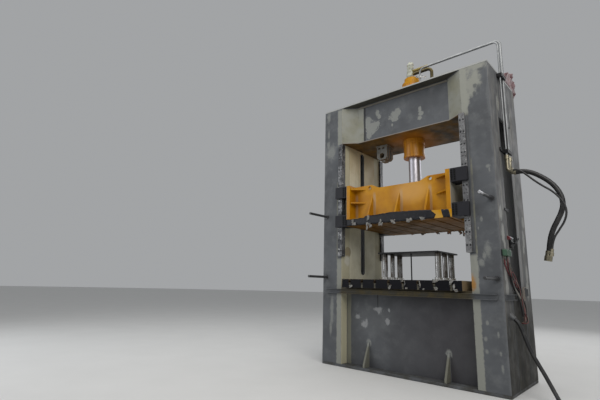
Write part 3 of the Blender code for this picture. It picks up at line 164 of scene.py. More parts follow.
# A material under construction: its nodes, the masks that drive them, and its colour so far
class Surface:
    def __init__(self, name, roughness=0.5, metallic=0.0, gloss=0.5, **more):
        self.material = bpy.data.materials.new(name)
        self.material.use_nodes = True
        self.tree = self.material.node_tree
        self.shader = self.tree.nodes["Principled BSDF"].inputs
        settings = {"Roughness": roughness, "Metallic": metallic, "Specular IOR Level": gloss, **more}
        for label, value in settings.items():
            self.shader[label.replace("_", " ")].default_value = value
        self.place = self.add("ShaderNodeTexCoord", output="Object")
        self.at = self.split(self.place)
        self.faces = self.split(self.add("ShaderNodeNewGeometry", output="Normal"))
        self.colour = None

    def feed(self, socket, value):
        if isinstance(value, Value):
            self.tree.links.new(value.socket, socket)
        elif isinstance(value, (int, float)) or len(socket.default_value) == len(value):
            socket.default_value = value
        else:
            socket.default_value = (*value, 1.0)

    # One more node, with its inputs fed and its settings made; gives one output back
    def add(self, kind, inputs=(), output=0, **settings):
        node = self.tree.nodes.new(kind)
        for label, value in settings.items():
            setattr(node, label, value)
        for label, value in dict(inputs).items():
            self.feed(node.inputs[label], value)
        return Value(self, node.outputs[output])

    def math(self, operation, *values):
        return self.add("ShaderNodeMath", enumerate(values), operation=operation)

    def vector(self, operation, *values, output="Vector"):
        return self.add("ShaderNodeVectorMath", enumerate(values), output, operation=operation)

    def length(self, vector):
        return self.vector("LENGTH", vector, output="Value")

    def split(self, vector):
        node = self.tree.nodes.new("ShaderNodeSeparateXYZ")
        self.feed(node.inputs[0], vector)
        return {axis: Value(self, socket) for axis, socket in zip("xyz", node.outputs)}

    def joined(self, *values):
        return self.add("ShaderNodeCombineXYZ", enumerate(values))

    def noise(self, scale, detail=4.0, rough=0.55, stretch=None, distortion=0.0, shift=None, place=None):
        place = place or self.place
        if stretch:
            place = self.vector("MULTIPLY", place, stretch)
        if shift:
            place = self.vector("ADD", place, shift)
        inputs = {"Vector": place, "Scale": scale, "Detail": detail, "Roughness": rough}
        return self.add("ShaderNodeTexNoise", {**inputs, "Distortion": distortion})

    # Noise about zero, to fray an edge by
    def rag(self, amount, *noise):
        return (self.noise(*noise) - 0.5) * amount

    def ramp(self, value, low, high, to_low=0.0, to_high=1.0):
        inputs = enumerate((value, low, high, to_low, to_high))
        return self.add("ShaderNodeMapRange", inputs, interpolation_type="SMOOTHSTEP")

    def fade(self, value, low, high):
        return self.ramp(value, low, high, 1.0, 0.0)

    # Noise sharpened to patches between two levels
    def clouds(self, low, high, *noise):
        return self.ramp(self.noise(*noise), low, high)

    def either(self, first, second):
        return self.math("MAXIMUM", first, second)

    def blend(self, factor, first, second):
        return self.add("ShaderNodeMix", {0: factor, 6: first, 7: second}, 2, data_type="RGBA")

    # Lays a tint over the colour so far, as far as all the masks let it through
    def coat(self, tint, mask, *masks):
        for other in masks:
            mask = mask * other
        self.colour = self.blend(mask, self.colour, tint)

    # 1 where the surface faces along the axis, with the sign of the direction
    def facing(self, axis, direction, least=0.6):
        return self.ramp(self.faces[axis] * direction, least - 0.1, least + 0.1)

    # 1 where the surface faces either way along the axis
    def tilt(self, axis, low, high):
        return self.ramp(abs(self.faces[axis]), low, high)

    # 1 where it faces neither way
    def flat(self, axis, low, high):
        return self.fade(abs(self.faces[axis]), low, high)

    # 1 where the place is further out along the axis than a distance from the middle
    def beyond(self, axis, low, high):
        return self.ramp(abs(self.at[axis]), low, high)

    # 1 between two places along an axis, with soft or ragged ends
    def band(self, axis, low, high, soft=0.004, ragged=None):
        value = self.at[axis] + ragged if ragged else self.at[axis]
        return self.ramp(value, low - soft, low + soft) * self.fade(value, high - soft, high + soft)

    # 1 inside an ellipsoid with a ragged edge
    def blot(self, centre, reach, ragged, soft=0.12):
        offset = self.vector("SUBTRACT", self.place, centre)
        away = self.length(self.vector("DIVIDE", offset, reach)) + ragged
        return self.fade(away, 1.0 - soft, 1.0 + soft)

    # Several blots, joined
    def blots(self, table, depth, ragged, face, soft=0.12):
        mask = 0.0
        for x, z, wide, high in table:
            mask = self.either(mask, self.blot((x, face, z), (wide, depth, high), ragged, soft))
        return mask

    def done(self, roughness=None, height=None, distance=0.001, strength=1.0):
        self.feed(self.shader["Base Color"], self.colour)
        if roughness is not None:
            self.feed(self.shader["Roughness"], roughness)
        if height is not None:
            inputs = {"Strength": strength, "Distance": distance, "Height": height}
            self.feed(self.shader["Normal"], self.add("ShaderNodeBump", inputs))
        return self.material


# Colours
GREY = (0.092, 0.098, 0.107)
GREY_LIGHT = (0.135, 0.141, 0.145)
GREY_DARK = (0.066, 0.07, 0.076)
# Pale grey inside the columns' boxes: painted light
HOLLOW_PAINTED_LIGHT = (0.3, 0.305, 0.31)
CREAM = (0.25, 0.254, 0.222)
CREAM_OLIVE = (0.215, 0.212, 0.16)
# Cream of the webs, made paler than the cream elsewhere: partly painted light
WEB_CREAM_LIT = (0.62, 0.6, 0.465)
WEB_OLIVE = (0.46, 0.435, 0.31)
PUTTY = (0.215, 0.222, 0.208)
STREAK_LIGHT = (0.2, 0.19, 0.172)
STREAK_DARK = (0.009, 0.009, 0.008)
OLIVE = (0.032, 0.028, 0.017)
RUST = (0.33, 0.15, 0.014)
# Brown of the crown's underside, darker than its orange paint: painted shade
UNDER_BROWN = (0.128, 0.068, 0.005)
YELLOW = (0.47, 0.215, 0.001)
YELLOW_DEEP = (0.35, 0.14, 0.001)
YELLOW_PALE = (0.48, 0.27, 0.05)
FILM_BLACK = (0.004, 0.004, 0.006)
OILED_BROWN = (0.12, 0.074, 0.034)
OILED_DARK = (0.05, 0.032, 0.018)
FILM_WHITE = (0.215, 0.208, 0.194)
# Light line along the crown's lower edge: a painted highlight
CROWN_EDGE_HIGHLIGHT = (0.23, 0.205, 0.18)
LEDGE_SAND = (0.2, 0.178, 0.14)
# Light edges of the top plate: a painted highlight
TOP_EDGE_HIGHLIGHT = (0.34, 0.345, 0.335)
# Dark underside of the top plate: painted shade
UNDER_SHADE = (0.048, 0.047, 0.038)
SMEAR_PALE = (0.31, 0.315, 0.3)
WEB_RUNS = (0.24, 0.215, 0.13)
WEB_WARM = (0.42, 0.31, 0.15)
CUT_DARK = (0.06, 0.06, 0.064)
STAIN_TAN = (0.23, 0.18, 0.095)
PUTTY_PALE = (0.6, 0.6, 0.55)
STAIN_BROWN = (0.23, 0.175, 0.095)
SMEAR_CREAM = (0.3, 0.3, 0.26)
BED_SHADE = (0.036, 0.034, 0.038)
BED_FILLER = (0.25, 0.255, 0.26)
BED_EDGE = (0.06, 0.046, 0.018)
# Pale strips beside the slide's gussets: a painted reflection
GUSSET_REFLECTION = (0.36, 0.235, 0.125)
# Pale yellow glare on the slide's panel: a painted highlight
YELLOW_GLARE = (0.56, 0.33, 0.13)
# Dark spots at the slide's gusset feet: painted shade in the notches
NOTCH_SHADE = (0.06, 0.028, 0.006)
OILED_PALE = (0.09, 0.07, 0.05)
# Oiled brown of the bolster's ends, made lighter than its top: partly painted light
OILED_END_LIT = (0.19, 0.14, 0.08)
SEAM_DARK = (0.02, 0.019, 0.015)
SEAM_PALE = (0.085, 0.078, 0.058)
PLATE_BROWN = (0.185, 0.084, 0.01)
PLATE_DARK = (0.095, 0.046, 0.006)
PLATE_LAY = (0.25, 0.12, 0.022)
PLATE_WARM = (0.33, 0.15, 0.03)
RAIL_DARK = (0.11, 0.11, 0.113)
RAIL_PALE = (0.205, 0.206, 0.21)
RAIL_MOTTLE = (0.03, 0.031, 0.034)
RAIL_SPECK = (0.03, 0.03, 0.03)
RAIL_FLECK = (0.38, 0.38, 0.37)
HOLE_BLACK = (0.008, 0.008, 0.009)

# Filler patches on the crown's front panel: x, z, half width, half height
CROWN_PATCHES = [
    (-0.59, 3.9, 0.058, 0.14), (-0.5, 3.84, 0.105, 0.11), (-0.58, 3.73, 0.05, 0.07),
    (-0.42, 3.875, 0.05, 0.05), (-0.41, 4.075, 0.034, 0.06), (-0.375, 4.0, 0.032, 0.05),
    (-0.09, 3.945, 0.08, 0.075), (-0.03, 3.985, 0.052, 0.07), (-0.07, 3.88, 0.045, 0.04),
    (-0.138, 3.79, 0.018, 0.024), (-0.125, 3.868, 0.017, 0.02), (-0.19, 3.905, 0.01, 0.014),
    (0.345, 3.92, 0.022, 0.052), (0.36, 3.85, 0.034, 0.036), (0.335, 3.79, 0.03, 0.03),
]
CHEEK_EDGE = -0.68
CHEEK_GROOVE = 0.022
# Cream strip on the posts: how far in from the column's inner face, and its levels
STRIP_INSET = 0.045
LINE_INSET = 0.088
RAIL_FOOT = 1.66
LINE_TOP = 2.95
RAIL_TOP = 3.57
STRIP_TOP = 4.25
# Marks across the bed's front
BED_BAND = (-1.03, -0.945)
BED_DRAIN = (-0.458, -0.444)

# Cream area and putty smears on the right front post
POST_CREAM = [
    (1.06, 4.06, 0.085, 0.3), (1.18, 4.08, 0.125, 0.23), (1.24, 4.24, 0.15, 0.06),
    (1.09, 3.82, 0.058, 0.13), (1.055, 3.65, 0.032, 0.11),
]
POST_DARK_SPOTS = [
    (1.225, 3.96, 0.026, 0.03), (1.268, 3.905, 0.026, 0.06), (1.212, 3.85, 0.018, 0.036),
    (1.31, 4.185, 0.04, 0.022),
]
POST_SMEARS = [
    (1.245, 1.72, 0.035, 0.085), (1.205, 1.645, 0.022, 0.05), (1.16, 1.56, 0.032, 0.05),
    (1.11, 1.5, 0.02, 0.06), (1.085, 1.6, 0.014, 0.05), (1.184, 0.83, 0.014, 0.022),
    (1.15, 0.64, 0.018, 0.024), (1.156, 0.491, 0.02, 0.02), (1.313, 0.488, 0.012, 0.022),
    (1.323, 0.324, 0.013, 0.036), (1.3, 0.7, 0.01, 0.03), (1.321, 2.798, 0.022, 0.02),
    (1.335, 2.755, 0.01, 0.03), (1.195, 2.113, 0.014, 0.028), (1.15, 2.0, 0.008, 0.018),
]
LEFT_POST_SMEARS = [
    (-1.257, 3.507, 0.085, 0.12), (-1.32, 3.64, 0.035, 0.08), (-1.321, 4.181, 0.036, 0.08),
    (-1.316, 3.836, 0.022, 0.08), (-1.212, 0.85, 0.03, 0.2), (-1.235, 0.56, 0.022, 0.1),
]
# Filler on the right column's outer side: y, z, half width, half height
RETURN_SMEARS = [
    (-0.48, 1.93, 0.06, 0.11), (-0.44, 1.8, 0.04, 0.06), (-0.52, 2.19, 0.06, 0.09),
    (-0.49, 1.44, 0.052, 0.13), (-0.47, 1.23, 0.06, 0.12), (-0.266, 3.784, 0.05, 0.11),
    (-0.52, 0.72, 0.024, 0.06),
]
BED_SMEARS = [
    (-0.815, 0.758, 0.044, 0.034), (-0.69, 0.655, 0.052, 0.045), (-0.655, 0.7, 0.02, 0.04),
    (-0.451, 0.89, 0.07, 0.032), (-0.43, 0.85, 0.03, 0.036), (-0.29, 0.724, 0.03, 0.04),
    (-0.261, 0.884, 0.018, 0.024),
]


# Grey primer under every painted frame piece, before its own patches
def primed(name, gloss=0.4):
    skin = Surface(name, gloss=gloss)
    runs = skin.noise(5.0, 3.0, 0.5, (4.0, 4.0, 0.35))
    skin.colour = skin.blend(skin.clouds(0.35, 0.68, 1.6, 3.0), GREY_DARK, GREY)
    skin.coat(GREY_LIGHT, skin.ramp(skin.noise(7.0, 6.0, 0.62), 0.45, 0.75, 0.0, 0.55))
    skin.coat(GREY_DARK, skin.ramp(runs, 0.55, 0.8, 0.0, 0.35))
    return skin


def primer_done(skin, patches=0.0):
    rough = skin.ramp(skin.noise(6.0, 4.0), 0.3, 0.7, 0.52, 0.78)
    height = skin.noise(140.0, 3.0, 0.6) * 0.3 + skin.noise(9.0, 3.0) * 0.8 + patches * 0.5
    return skin.done(rough, height, 0.0015, 0.5)


# Filler spread by hand: torn edges, and specks around it
def filler(skin, table, face, soft=0.16):
    rag = skin.rag(2.6, 9.0, 7.0, 0.72, None, 1.2)
    around = [(x, z, wide * 1.5, high * 1.4) for x, z, wide, high in table]
    near = skin.blots(around, 0.08, 0.0, face, 0.3)
    specks = skin.clouds(0.61, 0.66, 46.0, 3.0, 0.6)
    solid = skin.blots(table, 0.06, rag, face, soft)
    pits = skin.ramp(skin.noise(60.0, 3.0, 0.6, None, 0.0, (3.0, 1.0, 2.0)), 0.6, 0.68, 1.0, 0.45)
    return skin.either(solid, near * specks) * pits


# Loose filler smears and dirt for a side that has no patches of its own
def scattered(skin, amount=0.6, shift=(0.0, 0.0, 0.0)):
    wide = skin.noise(2.2, 5.0, 0.62, None, 0.4, shift)
    return skin.ramp(wide, amount, amount + 0.05)


def crown_paint():
    skin = primed("crown_primer")
    front = skin.facing("y", -1, 0.9)
    patches = filler(skin, CROWN_PATCHES, -PANEL_FACE) * front
    rear = scattered(skin, 0.62) * skin.facing("y", 1)
    patches = skin.either(patches, rear)
    skin.coat(PUTTY, patches, 0.92)
    cloudy = skin.blend(skin.clouds(0.35, 0.7, 4.5, 4.0), CREAM, CREAM_OLIVE)
    cloudy = skin.blend(skin.ramp(skin.noise(9.0, 5.0, 0.6), 0.58, 0.72, 0.0, 0.6), cloudy, GREY_LIGHT)
    # Cream of the cheeks, which runs on over the panel's left end as far as a dark groove
    slant = abs(skin.faces["x"]) * abs(skin.faces["y"])
    cheek = skin.ramp(slant, 0.15, 0.25)
    torn = skin.rag(0.03, 7.0, 5.0, 0.6)
    across = skin.at["x"] + torn
    left = skin.fade(across, CHEEK_EDGE - 0.004, CHEEK_EDGE + 0.004) * front
    skin.coat(cloudy, skin.either(cheek, left))
    groove = abs(across - (CHEEK_EDGE + CHEEK_GROOVE))
    groove = skin.fade(groove, CHEEK_GROOVE * 0.6, CHEEK_GROOVE) * front
    skin.coat(STREAK_DARK, groove, 0.75)
    # Light line along the crown's lower edge: a painted highlight
    edge = skin.band("z", CROWN_LOW.z - 0.01, CROWN_LOW.z + 0.016, 0.005) * skin.facing("z", -1, -0.5)
    skin.coat(CROWN_EDGE_HIGHLIGHT, edge, 0.8)
    # Ledge bars under the top plate
    beyond = skin.beyond("y", PANEL_FACE + 0.002, PANEL_FACE + 0.006)
    ledge = beyond * skin.band("z", CROWN_HIGH.z - 0.045, CROWN_HIGH.z - 0.008, 0.002) * (1.0 - cheek)
    skin.coat(LEDGE_SAND, ledge, 0.85)
    # Underside: brown and olive, darker than its orange paint, as painted shade; orange round the bore, a
    # painted reflection of the barrel
    below = skin.facing("z", -1) * skin.band("z", CROWN_LOW.z - 0.02, CROWN_LOW.z + 0.1)
    away = skin.length(skin.vector("MULTIPLY", skin.place, (1.0, 0.8, 0.0)))
    barrel_reflection = skin.fade(away + skin.rag(0.25, 3.0), 0.18, 0.5)
    tint_mix = skin.blend(skin.clouds(0.35, 0.7, 5.0, 5.0, 0.6), UNDER_BROWN, OLIVE)
    tint_mix = skin.blend(barrel_reflection * 0.8, tint_mix, YELLOW_DEEP)
    skin.coat(tint_mix, below)
    return primer_done(skin, patches)


# Top plate: light edges, a painted highlight; dark underside, painted shade
def top_paint():
    skin = primed("top_primer")
    marks = scattered(skin, 0.63, (3.1, 1.7, 0.4))
    skin.coat(PUTTY, marks, 0.45)
    # The plate's edges made light: a painted highlight
    skin.coat(TOP_EDGE_HIGHLIGHT, skin.flat("z", 0.3, 0.6))
    # The plate's underside made dark: painted shade under the overhang
    skin.coat(UNDER_SHADE, skin.facing("z", -1))
    return primer_done(skin, marks)


def post_paint(name, side, end):
    skin = primed(name)
    thin = skin.rag(0.05, 16.0, 5.0, 0.65)
    face = end * HALF_DEPTH
    outward = skin.facing("y", end)
    tables = POST_SMEARS if side > 0 else LEFT_POST_SMEARS
    if end > 0:
        tables = [(x, z + 0.35, wide, high) for x, z, wide, high in tables[::2]]
    smears = filler(skin, tables, face, 0.6) * outward
    skin.coat(PUTTY, smears, 0.7)
    if side > 0:
        rag = skin.rag(1.9, 8.0, 6.0, 0.7, None, 0.9)
        cream = skin.blots(POST_CREAM, 0.06, rag, face, 0.34) * outward
        shade = skin.blend(skin.clouds(0.5, 0.72, 7.0, 6.0, 0.7), CREAM, GREY_LIGHT)
        skin.coat(shade, cream, 0.92)
        spots = skin.blots(POST_DARK_SPOTS, 0.06, rag, face, 0.45) * outward
        skin.coat(GREY_DARK, spots, 0.75)
    # Cream strip along the inner edge, above the guide rail's top or below its foot
    inner = side * (COLUMN_INNER + STRIP_INSET)
    wide = abs(skin.at["x"] + thin - inner)
    strip = skin.fade(wide, 0.036, 0.056)
    low = skin.band("z", 0.0, RAIL_FOOT, 0.02, thin)
    high = skin.band("z", RAIL_TOP, STRIP_TOP, 0.02, thin)
    strip = strip * skin.either(low, high) * outward
    skin.coat(CREAM, strip, 0.85)
    rail_edge = side * (COLUMN_INNER + LINE_INSET)
    line = abs(skin.at["x"] + thin * 0.3 - rail_edge)
    line = skin.fade(line, 0.006, 0.016) * skin.band("z", RAIL_FOOT, LINE_TOP, 0.03)
    patchy = skin.ramp(skin.noise(6.0, 5.0, 0.65), 0.35, 0.6, 0.25, 0.85)
    skin.coat(CREAM_OLIVE, line, outward, patchy)
    # Bare light stretches along the outer corner
    corner = abs(abs(skin.at["x"]) - HALF_WIDTH)
    worn = skin.fade(corner + skin.rag(0.16, 3.0, 5.0, 0.7), 0.0, 0.03)
    skin.coat(GREY_LIGHT, worn, outward, 0.5)
    # Side returns: brushed in long upright streaks, with filler, and darker near the floor: painted shade
    # over dark streaks
    beside = skin.facing("x", side)
    streaks = skin.noise(5.0, 5.0, 0.6, (4.0, 4.0, 0.3))
    light = skin.ramp(streaks, 0.46, 0.66, 0.15, 0.85)
    skin.coat(STREAK_LIGHT, beside, light)
    returns = marks_along_side(skin, RETURN_SMEARS, side, end) * beside
    skin.coat(SMEAR_PALE, returns, 0.85)
    # Darker towards the floor: painted shade, laid in dark streaks
    low_shade = beside * skin.ramp(skin.at["z"], 0.55, 1.35, 0.93, 0.0)
    fine = skin.noise(7.0, 4.0, 0.6, (6.0, 6.0, 0.5))
    dirt = skin.blend(skin.ramp(fine, 0.42, 0.7), STREAK_DARK, OLIVE)
    skin.coat(dirt, low_shade)
    # Inside of the box: pale grey, painted light standing in for the light that reaches into the box
    inside = skin.facing("x", -side)
    hollow = skin.facing("y", -end)
    skin.coat(HOLLOW_PAINTED_LIGHT, skin.either(inside, hollow))
    # Inner face towards the slide: cream like the web
    near = skin.fade(abs(skin.at["x"]), COLUMN_INNER + 0.002, COLUMN_INNER + 0.006)
    skin.coat(inner_marks(skin, WEB_OLIVE, side), near, skin.facing("x", -side))
    if side > 0 and end < 0:
        rusty = skin.rag(1.6, 14.0, 6.0, 0.7)
        rust = skin.blot((COLUMN_INNER + 0.014, face, 1.3), (0.04, 0.06, 0.09), rusty, 0.5)
        skin.coat(RUST, rust, outward, 0.85)
    return primer_done(skin, skin.either(smears, strip))


# Filler on a side that faces along X, from a table of y, z and half sizes
def marks_along_side(skin, table, side, end):
    rag = skin.rag(2.2, 10.0, 7.0, 0.72, None, 1.0)
    mask = 0.0
    for y, z, deep, high in table:
        spot = skin.blot((side * HALF_WIDTH, -end * y, z), (0.06, deep, high), rag, 0.3)
        mask = skin.either(mask, spot)
    return mask


def web_paint(name, side):
    skin = Surface(name, gloss=0.4)
    clouds = skin.noise(2.4, 5.0, 0.6)
    runs = skin.noise(4.0, 4.0, 0.6, (5.0, 5.0, 0.4))
    # Cream web, paler than the cream on the posts: its own cream with painted light on it
    skin.colour = skin.blend(skin.ramp(clouds, 0.35, 0.7), WEB_CREAM_LIT, WEB_OLIVE)
    skin.coat(WEB_RUNS, skin.ramp(runs, 0.55, 0.75, 0.0, 0.4))
    warm = skin.ramp(skin.at["z"], 2.6, 3.6, 0.0, 0.6)
    skin.coat(WEB_WARM, warm)
    skin.colour = inner_marks(skin, skin.colour, side)
    cut = skin.flat("x", 0.3, 0.6)
    skin.coat(CUT_DARK, cut)
    # Web's face inside the column's box: pale grey, painted light
    skin.coat(HOLLOW_PAINTED_LIGHT, skin.facing("x", side))
    return primer_done(skin)


# Round stain, putty and brown oil on the columns' inner faces
def inner_marks(skin, colour, side):
    ragged = skin.rag(1.2, 10.0, 5.0)
    tan = skin.blot((side * COLUMN_INNER, -0.445, 1.772), (0.05, 0.085, 0.085), ragged * 0.4, 0.15)
    colour = skin.blend(tan * 0.75, colour, STAIN_TAN)
    putty = skin.blot((side * COLUMN_INNER, -0.462, 1.63), (0.05, 0.07, 0.08), ragged, 0.3)
    colour = skin.blend(putty * 0.6, colour, PUTTY_PALE)
    brown = skin.blot((side * COLUMN_INNER, 0.462, 1.826), (0.05, 0.06, 0.13), ragged, 0.4)
    return skin.blend(brown * 0.45, colour, STAIN_BROWN)


def cover_paint(name, side, low):
    skin = primed(name, 0.35 if low else 0.4)
    streaks = skin.noise(5.0, 5.0, 0.6, (4.0, 4.0, 0.3))
    light = skin.ramp(streaks, 0.46, 0.66, 0.1, 0.8)
    skin.coat(STREAK_LIGHT, light)
    mottled = skin.clouds(0.55, 0.66, 3.5, 6.0, 0.7, (1.0, 1.2, 0.4), 0.5)
    skin.coat(PUTTY, mottled, 0.2)
    marks = marks_along_side(skin, RETURN_SMEARS, side, -1)
    skin.coat(SMEAR_CREAM, marks, 0.85)
    # The lower cover darker towards the floor: painted shade, laid in dark streaks
    if low:
        fine = skin.noise(7.0, 5.0, 0.65, (6.0, 6.0, 0.5))
        dirt = skin.blend(skin.ramp(fine, 0.42, 0.68), STREAK_DARK, OLIVE)
        fade = skin.ramp(skin.at["z"], 0.8, 1.45, 1.0, 0.55)
        skin.coat(dirt, fade)
    return primer_done(skin, mottled)


def bed_paint():
    skin = primed("bed_primer")
    fade = skin.ramp(skin.at["x"], -0.8, 0.7, 0.05, 0.85)
    skin.coat(BED_SHADE, fade)
    front = skin.facing("y", -1)
    haze = skin.blot((-0.545, -PANEL_FACE, 0.734), (0.34, 0.1, 0.2), skin.rag(1.0, 5.0, 5.0), 0.5)
    skin.coat(GREY_LIGHT, haze, front, 0.3)
    smears = filler(skin, BED_SMEARS, -PANEL_FACE, 0.34) * front
    rear = scattered(skin, 0.64) * skin.facing("y", 1)
    smears = skin.either(smears, rear)
    skin.coat(BED_FILLER, smears, 0.85)
    band = skin.band("x", *BED_BAND, 0.006, skin.rag(0.03, 9.0)) * skin.facing("x", 1, -0.5)
    skin.coat(CREAM_OLIVE, band, 0.7)
    drain = skin.band("x", *BED_DRAIN) * skin.band("z", 0.92, 1.15, 0.03)
    skin.coat(STREAK_DARK, drain, front, 0.8)
    # Gusset edges and the smudges at their tops
    gusset = skin.beyond("y", PANEL_FACE + 0.004, PANEL_FACE + 0.01) * skin.band("z", -0.1, 0.45, 0.01)
    skin.coat(CREAM_OLIVE, gusset, 0.6)
    rag = skin.rag(2.0, 13.0, 6.0, 0.7, None, 1.0)
    for place in (-GUSSET_PLACE, GUSSET_PLACE):
        top = skin.blot((place, -PANEL_FACE, 0.385), (0.04, 0.08, 0.05), rag, 0.4)
        skin.coat(PUTTY, top, 0.8)
    # Faces turned down made darker: painted shade on the bed's undersides
    skin.coat(OLIVE, skin.facing("z", -1), 0.7)
    lip = skin.band("z", BED_HIGH.z - 0.04, BED_HIGH.z + 0.01, 0.004)
    edge = lip * skin.beyond("y", PANEL_FACE + 0.05, PANEL_FACE + 0.06)
    skin.coat(BED_EDGE, edge, 0.8)
    return primer_done(skin, smears)


def plain_primer(name, dirt=0.0):
    skin = primed(name)
    marks = scattered(skin, 0.63, (3.1, 1.7, 0.4))
    skin.coat(PUTTY, marks, 0.45)
    if dirt:
        grime = skin.noise(6.0, 6.0, 0.7)
        skin.coat(OLIVE, skin.ramp(grime, 0.35, 0.65, 0.0, dirt))
    return primer_done(skin, marks)


def enamel(name, panels=False):
    skin = Surface(name, 0.45, gloss=0.22, Coat_Weight=0.04, Coat_Roughness=0.25)
    broad = skin.noise(2.6, 3.0)
    fine = skin.noise(14.0, 5.0, 0.6)
    skin.colour = skin.blend(skin.ramp(broad, 0.35, 0.65), YELLOW_DEEP, YELLOW)
    skin.coat(YELLOW_PALE, skin.ramp(fine, 0.55, 0.8, 0.0, 0.25))
    grime = skin.clouds(0.6, 0.74, 5.0, 6.0, 0.7, (1.0, 1.0, 0.5), 0.4)
    skin.coat(OILED_DARK, grime, 0.3)
    if panels:
        panel_marks(skin)
    height = skin.noise(60.0, 2.0) * 0.25 + grime * 0.2
    rough = skin.ramp(fine, 0.3, 0.8, 0.34, 0.55)
    return skin.done(rough, height, 0.0012, 0.4)


# Marks on the slide's panels: pale strips beside the gussets, a painted reflection; pale glare, a painted
# highlight; dark spots at the gussets' feet, painted shade in their notches; grey primed ends
STRIP_PLACES = (-0.755, -0.425, 0.043, 0.501)
NOTCH_PLACES = (-0.492, -0.007, 0.448)
STRIP_HALF = 0.024


def panel_marks(skin):
    upright = skin.tilt("y", 0.6, 0.8)
    on_panel = skin.fade(abs(skin.at["y"]), SLIDE_PANEL_FACE + 0.004, SLIDE_PANEL_FACE + 0.01)
    wobble = skin.rag(0.02, 4.0, 3.0, 0.5, (1.0, 1.0, 0.6))
    # Pale strips on the panel beside each gusset: a painted reflection of the gusset
    gusset_reflections = 0.0
    for place in STRIP_PLACES:
        gusset_reflections = skin.either(gusset_reflections, skin.band("x", place - STRIP_HALF, place + STRIP_HALF, 0.012, wobble))
    reach = skin.band("z", SLIDE_LOW.z - 0.01, SLIDE_LOW.z + 0.4, 0.05)
    gusset_reflections = gusset_reflections * reach * (upright * on_panel)
    skin.coat(GUSSET_REFLECTION, gusset_reflections, 0.75)
    # Pale glare high on the panel: a painted highlight
    glare = skin.blot((0.2, -SLIDE_PANEL_FACE, SLIDE_LOW.z + 0.36), (0.26, 0.2, 0.16), wobble, 0.6)
    skin.coat(YELLOW_GLARE, glare, upright, 0.45)
    # Dark spots at the gussets' feet: painted shade in the notches there
    rag = skin.rag(0.8, 30.0, 4.0)
    for place in NOTCH_PLACES:
        spot = skin.blot((place, -SLIDE_PANEL_FACE, SLIDE_LOW.z + 0.085), (0.022, 0.05, 0.02), rag, 0.4)
        skin.coat(NOTCH_SHADE, spot, 0.85)
    end = skin.beyond("x", SLIDE_HIGH.x - 0.006, SLIDE_HIGH.x - 0.002)
    skin.coat(CREAM, end, 0.9)


# Oiled bolster; black film covers its front and rear between the slots
def bolster_steel():
    skin = Surface("bolster_steel", 0.5, gloss=0.12)
    lay = skin.noise(6.0, 3.0, 0.6, (0.5, 14.0, 14.0))
    pools = skin.noise(3.2, 5.0, 0.65)
    skin.colour = skin.blend(skin.ramp(pools, 0.38, 0.62), OILED_DARK, OILED_PALE)
    skin.coat(OILED_BROWN, skin.ramp(lay, 0.5, 0.7, 0.0, 0.5))
    # Ends: brown of oiled bare steel, made lighter than the top as painted light
    at_side = skin.beyond("x", BOLSTER_HIGH.x - 0.006, BOLSTER_HIGH.x - 0.002)
    skin.coat(OILED_END_LIT, skin.tilt("x", 0.6, 0.8), at_side)
    film = skin.tilt("y", 0.5, 0.7) * skin.beyond("y", BOLSTER_HIGH.y - 0.01, BOLSTER_HIGH.y - 0.004)
    # Distance to the nearest slot, counted from a place far to the left
    from_slot = skin.math("PINGPONG", skin.at["x"] + TSLOT_PITCH * 39.5, TSLOT_PITCH / 2)
    torn = from_slot + skin.rag(0.012, 11.0, 4.0)
    seam = skin.fade(torn, 0.01, 0.018)
    seam_colour = skin.blend(skin.clouds(0.4, 0.6, 16.0, 4.0), SEAM_DARK, SEAM_PALE)
    skin.coat(skin.blend(seam, FILM_BLACK, seam_colour), film)
    height = skin.noise(30.0, 3.0) * film
    return skin.done(skin.ramp(film, 0.0, 1.0, 0.45, 0.38), height, 0.002, 0.5)


def slide_plate_steel():
    skin = Surface("slide_plate_steel", 0.5, gloss=0.05)
    lay = skin.noise(6.0, 3.0, 0.6, (6.0, 0.5, 6.0))
    pools = skin.noise(3.0, 5.0, 0.65)
    skin.colour = skin.blend(skin.ramp(pools, 0.35, 0.65), PLATE_BROWN, PLATE_DARK)
    skin.coat(PLATE_LAY, skin.ramp(lay, 0.52, 0.7, 0.0, 0.5))
    skin.coat(PLATE_WARM, skin.ramp(skin.at["x"], 0.1, 0.8, 0.0, 0.55))
    sides = skin.flat("z", 0.3, 0.5)
    at_end = skin.beyond("y", PLATE_HIGH.y - 0.01, PLATE_HIGH.y - 0.004)
    at_side = skin.beyond("x", PLATE_HIGH.x - 0.006, PLATE_HIGH.x - 0.002)
    shade = skin.blend(skin.clouds(0.35, 0.65, 5.0, 4.0), YELLOW, YELLOW_PALE)
    skin.coat(shade, sides, skin.either(at_end, at_side))
    height = skin.noise(24.0, 3.0)
    return skin.done(skin.ramp(pools, 0.3, 0.7, 0.4, 0.6), height, 0.001, 0.3)


# Machined guide rail: speckled, with dark counterbored holes in pairs
RAIL_HOLE_ROWS = (3.503, 3.329, 3.151, 3.037, 2.868, 2.72, 2.578, 2.374, 2.24, 2.101, 1.951, 1.783)
RAIL_HOLE_SPREAD = 0.044


